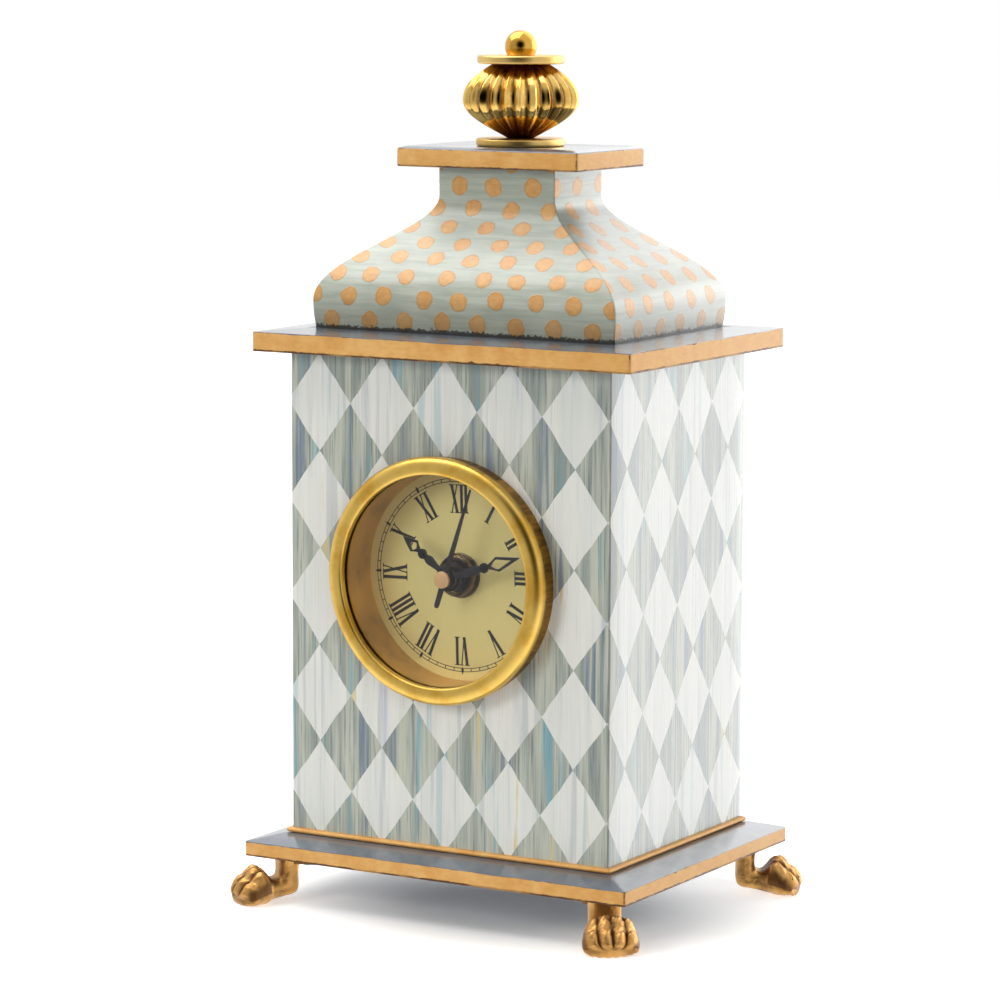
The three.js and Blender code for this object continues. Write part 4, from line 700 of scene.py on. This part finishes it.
print_thickness = 0.04 * mm
numeral_inner, numeral_outer = 16.9 * mm, 24.7 * mm
stem, hairline, v_width, letter_gap = 0.86 * mm, 0.34 * mm, 2.6 * mm, 0.5 * mm
serif, serif_reach = 0.28 * mm, 0.36 * mm
dial_turn = -1.6
track, track_line, tick_line = (25.5 * mm, 26.4 * mm), 0.2 * mm, 0.24 * mm
dart_inner, dart_middle, dart_outer, dart_half = 25.0 * mm, 26.0 * mm, 27.3 * mm, 0.42 * mm
# Each capital's strokes, as the side of its top, the side of its foot and its thickness, and the capital's width.
capitals = {"I": ([(0, 0, stem)], stem), "V": ([(-1, 0, stem), (1, 0, hairline)], v_width),
            "X": ([(-1, 1, stem), (1, -1, hairline)], v_width)}


def bar(x0, x1, low, high, width):
    """Corners of a stroke from (x0, low) to (x1, high), this wide across."""
    return [(x0 - width / 2, low), (x0 + width / 2, low), (x1 + width / 2, high), (x1 - width / 2, high)]


def letter_strokes(letter, left):
    """The strokes of one capital from its left edge, and its width. Thick and thin strokes slope between the two
    serif lines, and each end of a stroke has a flat serif, but for the point of a V."""
    low, high = numeral_inner, numeral_outer
    slants, width = capitals[letter]
    middle = left + width / 2
    reach = (v_width - stem) / 2
    strokes = []
    for top, bottom, thick in slants:
        strokes.append(bar(middle + bottom * reach, middle + top * reach, low, high, thick))
        ends = [(high - serif, high, top)] + ([(low, low + serif, bottom)] if letter != "V" else [])
        for start, end, way in ends:
            centre = middle + way * reach
            strokes.append(bar(centre, centre, start, end, thick + 2 * serif_reach))
    return strokes, width


def numeral_strokes(letters):
    """All strokes of a numeral, centred on its hour line."""
    strokes, left = [], 0.0
    for letter in letters:
        made, width = letter_strokes(letter, left)
        strokes += made
        left += width + letter_gap
    return np.array(strokes) - [(left - letter_gap) / 2, 0]


def on_dial(shapes, degrees):
    """Turns flat shapes, drawn with Y outwards, clockwise to their place on the dial."""
    angle = np.radians(degrees)
    x, y = shapes[..., 0], shapes[..., 1]
    return np.stack([x * np.cos(angle) + y * np.sin(angle), y * np.cos(angle) - x * np.sin(angle)], axis=-1)


hours = ["XII", "I", "II", "III", "IV", "V", "VI", "VII", "VIII", "IX", "X", "XI"]
marks = [on_dial(numeral_strokes(letters), 30 * hour + dial_turn) for hour, letters in enumerate(hours)]
tick = np.array([bar(0, 0, track[0], track[1], tick_line)])
marks += [on_dial(tick, 6 * minute + dial_turn) for minute in range(60)]
dart = np.array([[(0, dart_inner), (dart_half, dart_middle), (0, dart_outer), (-dart_half, dart_middle)]])
marks += [on_dial(dart, 30 * hour + dial_turn) for hour in range(12)]
circle = np.linspace(0, 2 * np.pi, 181)
for radius in track:
    edges = [np.column_stack([np.cos(circle), np.sin(circle)]) * (radius + side * track_line / 2) for side in (-1, 1)]
    marks.append(np.stack([edges[0][:-1], edges[1][:-1], edges[1][1:], edges[0][1:]], axis=1))
flat = np.vstack(marks)
area = np.cross(flat[:, 1] - flat[:, 0], flat[:, 2] - flat[:, 0])
flat = np.where((area < 0)[:, None, None], flat[:, ::-1], flat)
ink = np.concatenate([np.dstack([flat, np.full(flat.shape[:2], level)]) for level in (0.0, print_thickness)], axis=1)
ink = upright(ink) + [axis_x, dial_face, axis_z]
block_faces = np.array([[3, 2, 1, 0], [4, 5, 6, 7], [0, 1, 5, 4], [1, 2, 6, 5], [2, 3, 7, 6], [3, 0, 4, 7]])
ink_faces = (np.arange(len(ink))[:, None, None] * 8 + block_faces).reshape(-1, 4).tolist()


def plain_material(name, first, second, roughness, metallic=0.0, grain=900, coat=0.0, relief=0.08):
    """A moulded, printed or painted finish: two close tones in a fine grain, and a gloss that varies with it."""
    material, place = new_finish(name)
    fine, broad = noise(place, grain), noise(place, grain / 14)
    return surface(material, blend(step(broad, 0.35, 0.68), first, second), fine * 0.14 + (roughness - 0.07), metallic,
                   (fine, relief, 0.05 * mm), (coat, 0.03))


black_ink = plain_material("black dial print", (22, 17, 13), (34, 27, 20), 0.5)
dress(put_mesh("dial_print", ink, ink_faces), black_ink, "case", "dial_gilt")

# Hand nut. A washer and a round nut of dark bronze, both turned. The nut is screwed on the movement's threaded bush
# in the middle of the dial, and holds the movement to it.
bronze = bright_metal("dark bronze", (128, 106, 78), (56, 45, 38), 0.18, 0.9)
bush_bore, nut_inset = 4.1 * mm, 0.4 * mm
for ring_name, node_name in (("hand_washer", "dial_washer"), ("hand_nut", "dial_nut")):
    box = box_of(node_name)
    section = tube(bush_bore, box.half[0] - nut_inset, box.high[1], box.low[1])
    on_drum(ring_name, eased(section + section[:1], 0.3 * mm)[:-1], 96, bronze, "bronze", node_name)

# Hands. Stamped steel, enamelled black: hour and minute hands with a swelling stem, a round bead and an open diamond,
# and a tapered second hand with a short tail under a flat copper-coloured cap. Each sits on its own tube or pin.
black_enamel = plain_material("black enamel", (20, 18, 22), (38, 34, 40), 0.32, 0.3, coat=0.3)
hand_thickness = 0.5
hand_edge = 0.07 * mm


def plate(outline, front, back, hole=None):
    """Points and faces of a flat plate with this closed outline, given counter-clockwise as seen from the front, and
    with a hole of as many points if one is given."""
    rows = [(outline, back), (outline, front)] + ([] if hole is None else [(hole, front), (hole, back)])
    points = np.vstack([np.column_stack([path, np.full(len(path), level)]) for path, level in rows])
    return points, skin_faces(len(rows), len(outline), hole is not None)


def joined_shells(shells):
    """Several shells as one array of points and one list of faces."""
    faces, start = [], 0
    for points, shell_faces in shells:
        faces += [[corner + start for corner in face] for face in shell_faces]
        start += len(points)
    return np.vstack([points for points, _ in shells]), faces


def mirrored(half):
    """A closed outline from the right-hand half of it, given upwards as half width and distance along."""
    half = np.asarray(half, float)
    return np.vstack([half, half[::-1] * [-1, 1]])


def round_outline(radius, along=0, count=48):
    """A circle on the hand's line."""
    turn = np.linspace(0, 2 * np.pi, count, endpoint=False)
    return np.column_stack([radius * np.cos(turn), along + radius * np.sin(turn)])


def curved(points, steps=8):
    """A smooth curve through points, by cubic pieces whose slope at each point is that between its neighbours."""
    points = np.asarray(points, float)
    padded = np.vstack([2 * points[0] - points[1], points, 2 * points[-1] - points[-2]])
    share = np.linspace(0, 1, steps, endpoint=False)[:, None]
    pieces = []
    for before, start, end, after in zip(padded, padded[1:], padded[2:], padded[3:]):
        leave, arrive = (end - before) / 2, (after - start) / 2
        pieces.append((2 * share ** 3 - 3 * share ** 2 + 1) * start + (share ** 3 - 2 * share ** 2 + share) * leave
                      + (3 * share ** 2 - 2 * share ** 3) * end + (share ** 3 - share ** 2) * arrive)
    return np.vstack(pieces + [points[-1:]])


def place_hand(node_name, body, degrees, lift, shells):
    """Turns a hand, in millimetres, to its time about the dial's axis and lifts it off the face of its CAD node."""
    points, faces = joined_shells(shells)
    points = np.column_stack([on_dial(points[:, :2], degrees), points[:, 2]]) * mm
    solid = upright(points) + [axis_x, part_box(node_name)[0][1] + lift * mm, axis_z]
    piece = put_mesh(node_name + "_enamelled", solid, faces)
    bevel = piece.modifiers.new("soft edge", "BEVEL")
    bevel.width = hand_edge
    bevel.segments = 2
    bevel.limit_method = "ANGLE"
    dress(piece, black_enamel, body, "black_metal", node_name)


def ornate_shells(hub, hub_back, bore, stem_foot, bead, diamond, tip, half_width, strips):
    """The hour or minute hand in millimetres, its back at 0: stem, bead, open diamond and hub. The strips are those
    beside, before and behind the diamond's opening."""
    beside, foot, point = strips
    thick, bead_radius, hub_wall = hand_thickness, 1.4, 0.95
    swell = (stem_foot + bead) / 2
    stem_half = curved([(0.9, 0), (0.75, stem_foot), (1.25, swell), (1.1, bead - 2), (0.65, bead - 0.9)])
    neck_half = [(0.6, bead - 1), (0.55, bead), (0.6, diamond + 0.4)]
    shoulder = diamond + (tip - diamond) * 0.3
    outer_half = curved([(0.65, diamond), (half_width * 0.62, (diamond + shoulder) / 2), (half_width, shoulder)])
    outer_half = np.vstack([outer_half, [(half_width * 0.5, (shoulder + tip) / 2 + 0.3), (0.1, tip)]])
    inner = half_width - beside
    inner_half = curved([(0.05, diamond + foot), (inner * 0.7, (diamond + foot + shoulder) / 2), (inner, shoulder)])
    inner_half = np.vstack([inner_half, [(inner * 0.45, (shoulder + tip - point) / 2 + 0.2), (0.05, tip - point)]])
    return [plate(mirrored(stem_half), thick, 0), plate(mirrored(neck_half), thick, 0),
            plate(round_outline(bead_radius, bead), thick, 0),
            plate(mirrored(outer_half), thick, 0, mirrored(inner_half)),
            plate(round_outline(hub), thick, 0, round_outline(bore)),
            plate(round_outline(bore + hub_wall), 0.02, -hub_back, round_outline(bore))]


hour_shells = ornate_shells(3.65, 1.1, 2.5, 4.2, 10.2, 11.7, 17.6, 1.9, (0.65, 0.8, 2.5))
place_hand("hour_hand", "hour_arbor", 306, hand_thickness, hour_shells)
minute_shells = ornate_shells(3.1, 0.8, 1.65, 3.8, 12.6, 14, 24, 2.05, (0.7, 0.9, 2.75))
place_hand("minute_hand", "minute_arbor", 72, hand_thickness, minute_shells)
second_half = [(0.3, -8.4), (0.62, -8.1), (0.72, -7.5), (0.72, -6), (0.85, 0), (0.25, 26)]
second_shells = [plate(mirrored(second_half), 0, -hand_thickness), plate(round_outline(2.45), 0.55, -hand_thickness)]
place_hand("second_hand", "seconds_arbor", 18, 1.5, second_shells)
copper_cap = bright_metal("copper cap", (246, 204, 152), (228, 178, 122), 0.38, 0.5)
cap_front, cap_radius, cap_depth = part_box("second_hand")[0][1], 2.3 * mm, 0.9 * mm
cap_section = eased(tube(pinhole, cap_radius, cap_front + cap_depth, cap_front), 0.2 * mm)
on_drum("second_hand_cap", cap_section, 64, copper_cap, "copper", ring=False, body="seconds_arbor")

# Feet. Four castings in gold paint rubbed back over a dark ground: a square shank that flares into its tab, a lifted
# heel and a broad paw, whose four toes are split by grooves and bent at the knuckle. The hollows stay dark. Each foot
# is screwed to the base slab.
foot_places = {"front_left": (-50.5, -41, 232), "front_right": (50.5, -41, 308), "back_left": (-54.5, 33, 150),
               "back_right": (54.5, 33, 30)}
foot_top = slab.low[2] / mm


def cast_foot_material():
    """Gold paint rubbed off the high places, dark in the recesses and low on the heel, which a height value follows."""
    material, place = new_finish("gold paint on castings")
    gilt = use(gilding, place, 0.6)
    deep = node("Attribute", {}, "Fac", material.node_tree, attribute_name="darkening")
    pits = noise(place, 520, 4, 0.65)
    lumps = noise(place, 190)
    dark = step(lumps * 0.9 + (deep - 0.45), 0.08, 0.7)
    pitted = step(pits, 0.36, 0.3) * 0.85
    bronzed = blend(0.7, gilt["Color"], (190, 142, 78))
    cast = blend(dark * 0.85, bronzed, (96, 56, 22))
    relief = (lumps * 1.6 + (pitted * -0.5 + pits), 0.8, 0.35 * mm)
    return surface(material, blend(pitted, cast, (60, 34, 14)), pits * 0.3 + 0.2, dark * -0.25 + 0.8, relief)


# Sections of the foot from the slab down the shank, round the heel and out to the toe tips, in millimetres: the lower
# or rear end along and up, the upper or front end along and up, the half width, how much of a paw it is, and grooves.
foot_sections = [(-4.7, foot_top, 3.3, foot_top, 5.6, 0, 0), (-3.7, foot_top - 0.6, 2.9, foot_top - 0.7, 4.9, 0, 0),
                 (-3.0, foot_top - 1.7, 2.6, foot_top - 1.9, 4.5, 0, 0),
                 (-2.8, foot_top - 3.4, 2.5, foot_top - 3.4, 4.4, 0, 0), (-2.8, 6.4, 2.6, 7.7, 4.4, 0, 0),
                 (-2.8, 4.3, 3.0, 6.9, 4.4, 0, 0), (-2.3, 2.7, 3.7, 6.6, 4.35, 0, 0),
                 (-0.9, 1.9, 4.5, 6.6, 4.35, 0.1, 0), (1.3, 1.6, 5.3, 7.0, 4.4, 0.3, 0),
                 (3.8, 1.1, 6.2, 7.9, 4.7, 0.6, 0), (6.0, 0.6, 7.1, 8.9, 5.2, 0.85, 0.15),
                 (7.6, 0.25, 8.1, 9.75, 5.85, 1, 0.5),
                 (8.9, 0.05, 9.2, 10, 6.5, 1, 0.85), (10.1, 0, 10.3, 9.7, 7.0, 1, 1), (11.2, 0, 11.5, 9.0, 7.35, 1, 1),
                 (12.3, 0, 12.7, 8.0, 7.6, 1, 1), (13.3, 0, 13.8, 6.9, 7.65, 1, 1), (14.1, 0.05, 14.8, 5.9, 7.5, 1, 1),
                 (14.6, 0.2, 15.4, 5.0, 7.3, 1, 1), (15.0, 0.6, 15.75, 4.3, 7.0, 1, 0.9),
                 (15.25, 1.2, 15.85, 3.7, 6.6, 1, 0.8), (15.4, 1.8, 15.8, 3.2, 6.0, 1, 0.7)]
toes, toe_set_back, groove_depth, lump_height = 4, 2.4, 0.75, 0.28
# Knuckle, crease and pad of a toe, in millimetres: how high each swells, how far along it is and how far it spreads.
toe_swells = [(0.42, 10, 1.2), (-0.5, 12.5, 0.65), (0.4, 14.4, 0.9)]


def hump(along, middle, spread):
    """A smooth bell over a distance along the foot."""
    return np.exp(-((along - middle) / spread) ** 2)


def foot_surface(across=97, between=6):
    """Each section is a flat-bottomed or four-sided superellipse: over a place u across it, from -1 to 1, its upper
    half rises by (1 - |u|^n)^(1/n). Grooves follow 1 - |sin(2 pi u)|^0.7, and each toe swells at the knuckle and the
    pad, with a crease between them. The sides draw back by u squared. Also gives how dark each point is painted: in
    the grooves and the saddle, a little on the underside, and towards the bottom of the heel."""
    path = curved(foot_sections, between)
    rear, front, half, paw, groove = path[:, 0:2], path[:, 2:4], path[:, 4:5], np.clip(path[:, 5:6], 0, 1), path[:, 6:7]
    u = np.sin(np.linspace(-90, 90, across) * np.pi / 180)
    size = np.abs(u)
    power = 3 - 0.4 * paw
    upper = (1 - size ** power) ** (1 / power)
    lower = (1 - size ** (power + 0.8)) ** (1 / (power + 0.8))
    waist = 0.5 - 0.12 * paw
    split = np.clip(groove, 0, None) * (1 - np.abs(np.sin(toes * np.pi * u / 2)) ** 0.7)
    along = front[:, :1]
    swell = sum(height * hump(along, *reach) for height, *reach in toe_swells)
    lift = (swell * np.clip(groove, 0, 1) * (1 - split) - groove_depth * split) * np.clip(upper * 1.6, 0, 1)
    waves = np.sin(2.1 * along + 1.65 * half * u + 0.8) * np.sin(1.3 * half * u + 0.6 * along)
    lumps = lump_height * paw * waves * upper
    back = toe_set_back * paw * size ** 2 * np.clip(groove + 0.2, 0, 1)
    rows = []
    for share, raised in ((waist + (1 - waist) * upper, lift), (waist * (1 - lower), 0)):
        x, z = np.moveaxis(rear[:, None] + (front - rear)[:, None] * share[..., None], -1, 0)
        x = x - back - 0.9 * split * np.clip((along - 11) / 3, 0, 1) * share
        rows.append(np.stack([x, half * u, np.maximum(z + raised + lumps, 0)], axis=-1))
    grid = np.concatenate([rows[0], rows[1][:, -2:0:-1]], axis=1)
    saddle = 1.1 * hump(along, 6.3, 1.5) * upper
    hollow = np.concatenate([np.maximum(split, saddle), np.full(lower[:, 2:].shape, 0.3)], axis=1)
    # Darker towards the bottom of the heel as well.
    low = np.clip(1 - grid[..., 2] / 4, 0, 1) * (1 - np.clip((grid[..., 0] - 4) / 5, 0, 1)) * 0.8
    return grid, np.maximum(hollow, low)


cast_gold = cast_foot_material()
paw_grid, paw_darkening = foot_surface()
tab = rectangle_rows([5.4, 5.6], [6, 6.2], [foot_top - 1.7, foot_top], 3.2, (-5.6, 0))
paw_faces = [face[::-1] for face in skin_faces(*paw_grid.shape[:2])]
foot_points, foot_faces = joined_shells([(paw_grid.reshape(-1, 3), paw_faces),
                                         (tab.reshape(-1, 3), skin_faces(*tab.shape[:2]))])
foot_darkening = np.concatenate([paw_darkening.ravel(), np.full(tab.size // 3, 0.6)])
for corner_name, (foot_x, foot_y, foot_turn) in foot_places.items():
    turn = np.array(Matrix.Rotation(np.radians(foot_turn), 3, "Z"))
    places = (foot_points @ turn.T + [foot_x, foot_y, 0]) * mm + [0, case_y, 0]
    paw_foot = put_mesh(f"paw_foot_{corner_name}", places, foot_faces, 50)
    darkening = paw_foot.data.attributes.new("darkening", "FLOAT", "POINT")
    darkening.data.foreach_set("value", foot_darkening.astype(np.float32))
    dress(paw_foot, cast_gold, "case", "gilded_metal", f"foot_{corner_name}")

# Back door. One board cut from the back and painted like it, hung on two small brass hinges and pulled open by a
# turned brass knob. A magnet inside the case holds it shut.
door_thickness = 2 * door.half[1] / mm
door_profile = eased([(0.5, 0), (0, 0), (0, door_thickness), (0.5, door_thickness)], 0.4) * mm
door_rows = rectangle_rows(door.half[0] - door_profile[:, 0], door.half[2] - door_profile[:, 0], door_profile[:, 1],
                           0.3 * mm)
door_points = upright(door_rows) + [door.middle[0], door.high[1], door.middle[2]]
dress(closed_skin("case_door", door_points), wall_paint, "door", "painted_walls", "back_door")
knob = box_of("door_knob")
knob_curve = curved([(3.2, 0.0), (3.1, 0.08), (2.0, 0.28), (2.2, 0.4), (4.6, 0.52), (5.0, 0.7), (4.2, 0.88),
                     (2.2, 0.98), (0.02, 1.0)], 6) * [mm, knob.high[1] - case_back]
knob_profile = np.vstack([[(1.9 * mm, -5.5 * mm), (1.9 * mm, 0.0)], knob_curve])[::-1] * [1, -1]
knob_piece = turned("door_knob_turned", knob_profile, 64, (knob.middle[0], case_back, knob.middle[2]), front=True)
dress(knob_piece, polished_brass, "door", "brass", "door_knob")

# Small fittings and the movement. Brass hinges, steel rod, nut and screws, a black moulded movement with a ribbed
# setting knob, its copper coil, circuit board, wheels of white plastic and one dry cell: each keeps its CAD shape.
finish_nodes(bright_metal("hinge brass", (214, 170, 92), (160, 118, 52), 0.28, 0.7),
             "upper_hinge_frame_leaf", "upper_hinge_door_leaf", "lower_hinge_frame_leaf", "lower_hinge_door_leaf",
             "minute_pipe")
finish_nodes(bright_metal("zinc-plated steel", (186, 188, 190), (146, 148, 150), 0.3, 0.6),
             "foot_screw_front_left", "foot_screw_front_right", "foot_screw_back_left", "foot_screw_back_right",
             "tie_rod", "tie_rod_nut", "drum_back", "stator", "rotor", "contact_positive", "contact_negative",
             "catch_plate")
finish_nodes(plain_material("black moulded plastic", (34, 34, 36), (44, 44, 46), 0.5, relief=0.25),
             "movement_case", "movement_cover", "magnet_catch")
finish_nodes(plain_material("white moulded plastic", (226, 224, 216), (238, 236, 230), 0.4),
             "train_plate", "intermediate_wheel", "seconds_wheel", "third_wheel", "centre_wheel", "minute_wheel",
             "hour_wheel", "set_knob")
finish_nodes(plain_material("enamelled copper wire", (168, 88, 46), (196, 112, 62), 0.3, 0.8, grain=2400),
             "coil")
finish_nodes(plain_material("green circuit board", (38, 84, 52), (50, 104, 66), 0.35, coat=0.5),
             "circuit_board")
finish_nodes(plain_material("blue cell wrap", (44, 66, 112), (52, 76, 124), 0.3, 0.3, coat=0.4), "battery")

# Floor and light. A white paper sweep that glows pure white away from the clock, so that no horizon shows: a painted
# glow, weakest in an oval round the clock's foot so that the shadow shows there. Light bouncing off the paper sees it
# pale grey, and dark grey in front of the clock: painted shade. Soft lights in front on both sides, above on the left
# and behind on the right, and white walls all round.
floor_half = 3.0
floor_points = [(-floor_half, -floor_half, 0), (floor_half, -floor_half, 0), (floor_half, floor_half, 0),
                (-floor_half, floor_half, 0)]
floor = put_mesh("white_table", floor_points, [[0, 1, 2, 3]])
paper, place = new_finish("white paper")
floor_x, floor_y, _ = xyz(place)
# Painted glow: none in an oval centred a little right of and in front of the clock, so that its shadow shows there.
lengthwise, crosswise = (floor_x - 6 * mm) / (62 * mm), (floor_y + 14 * mm) / (45 * mm)
from_shade = math("SQRT", lengthwise * lengthwise + crosswise * crosswise)
floor_glow = step(from_shade, 0.3, 1.45) * 0.65 + step(vectors("LENGTH", place, output="Value"), 0.1, 0.25) * 0.35
seen = node("LightPath", {}, "Is Camera Ray", paper.node_tree)
# Painted shade: the paper as bounced light sees it, pale grey, and dark grey in front of the clock.
bounce_shade = blend(step(floor_y, -0.2, -0.42), (222, 222, 222), (90, 90, 90))
surface(paper, blend(seen, bounce_shade, (248, 245, 240)), noise(place, 900, 2) * 0.1 + 0.65)
wire(principled(paper).inputs, {"Emission Color": (1, 1, 1, 1), "Emission Strength": floor_glow * seen})
floor.data.materials.append(paper)
floor.visible_glossy = False

world = bpy.data.worlds.new("white studio")
world.use_nodes = True
bpy.context.scene.world = world
outward = node("TexCoord", {}, "Generated", world.node_tree)
toward_camera = vectors("DOT_PRODUCT", outward, (0.42, -0.88, 0.22), output="Value")
toward_back = vectors("DOT_PRODUCT", outward, (0.15, 0.85, 0.5), output="Value")
_, depth, rise = xyz(outward)
wall_glow = step(depth, -0.3, -0.8) * -0.35 + 0.95
wall_glow = step(rise, -0.2, -0.6) * 0.5 + wall_glow
wall_glow = step(toward_back, 0.68, 0.95) * 1.1 + wall_glow
wall_glow = wall_glow * step(toward_camera, 0.98, 0.76)
glossy = node("LightPath", {}, "Is Glossy Ray", world.node_tree)
strength = mixed(glossy.twin("Is Camera Ray"), mixed(glossy, 0.2, wall_glow), 1.0)
wire(world.node_tree.nodes["Background"].inputs, {"Strength": strength, "Color": (1, 1, 1, 1)})
bpy.context.scene.view_settings.view_transform = "Standard"

light_aim = Vector((0, 0, 0.11))
soft_boxes = {"key": ((-0.56, -1.36, 0.62), 0.6, 7.2, False), "fill": ((0.9, -0.95, 0.35), 0.8, 3.6, False),
              "side": ((0.72, 1.05, 0.16), 1.2, 6.8, True), "top": ((-0.48, -0.05, 1.16), 1.1, 9.5, True)}
for name, (spot, size, power, mirrored_in_gloss) in soft_boxes.items():
    light = bpy.data.lights.new(name, "AREA")
    light.shape = "RECTANGLE"
    light.size = light.size_y = size
    light.energy = power
    lamp = bpy.data.objects.new(name, light)
    lamp.location = spot
    lamp.rotation_euler = (light_aim - Vector(spot)).to_track_quat("-Z", "Y").to_euler()
    lamp.visible_glossy = mirrored_in_gloss
    bpy.context.scene.collection.objects.link(lamp)

# Camera. A long lens from a little to the right and above. The middle of its picture lies slightly to the left of
# the clock's axis and below its middle height.
azimuth, elevation, roll = np.radians([30.18, 7.49, 0.18])
camera_distance = 1.1226
back = Vector((np.sin(azimuth) * np.cos(elevation), -np.cos(azimuth) * np.cos(elevation), np.sin(elevation)))
target = Vector((0, case_y, 114.3 * mm))
right = Vector((np.cos(azimuth), np.sin(azimuth), 0))
aim = target - right * (5.33 * mm) - back.cross(right) * (3.57 * mm)
camera_place = target + back * camera_distance
camera = bpy.data.cameras.new("camera")
camera.sensor_width = 36
camera.lens = 146.27
camera_object = bpy.data.objects.new("camera", camera)
turn = (aim - camera_place).to_track_quat("-Z", "Y").to_matrix().to_4x4() @ Matrix.Rotation(roll, 4, "Z")
camera_object.matrix_world = Matrix.Translation(camera_place) @ turn
bpy.context.scene.collection.objects.link(camera_object)
bpy.context.scene.camera = camera_object
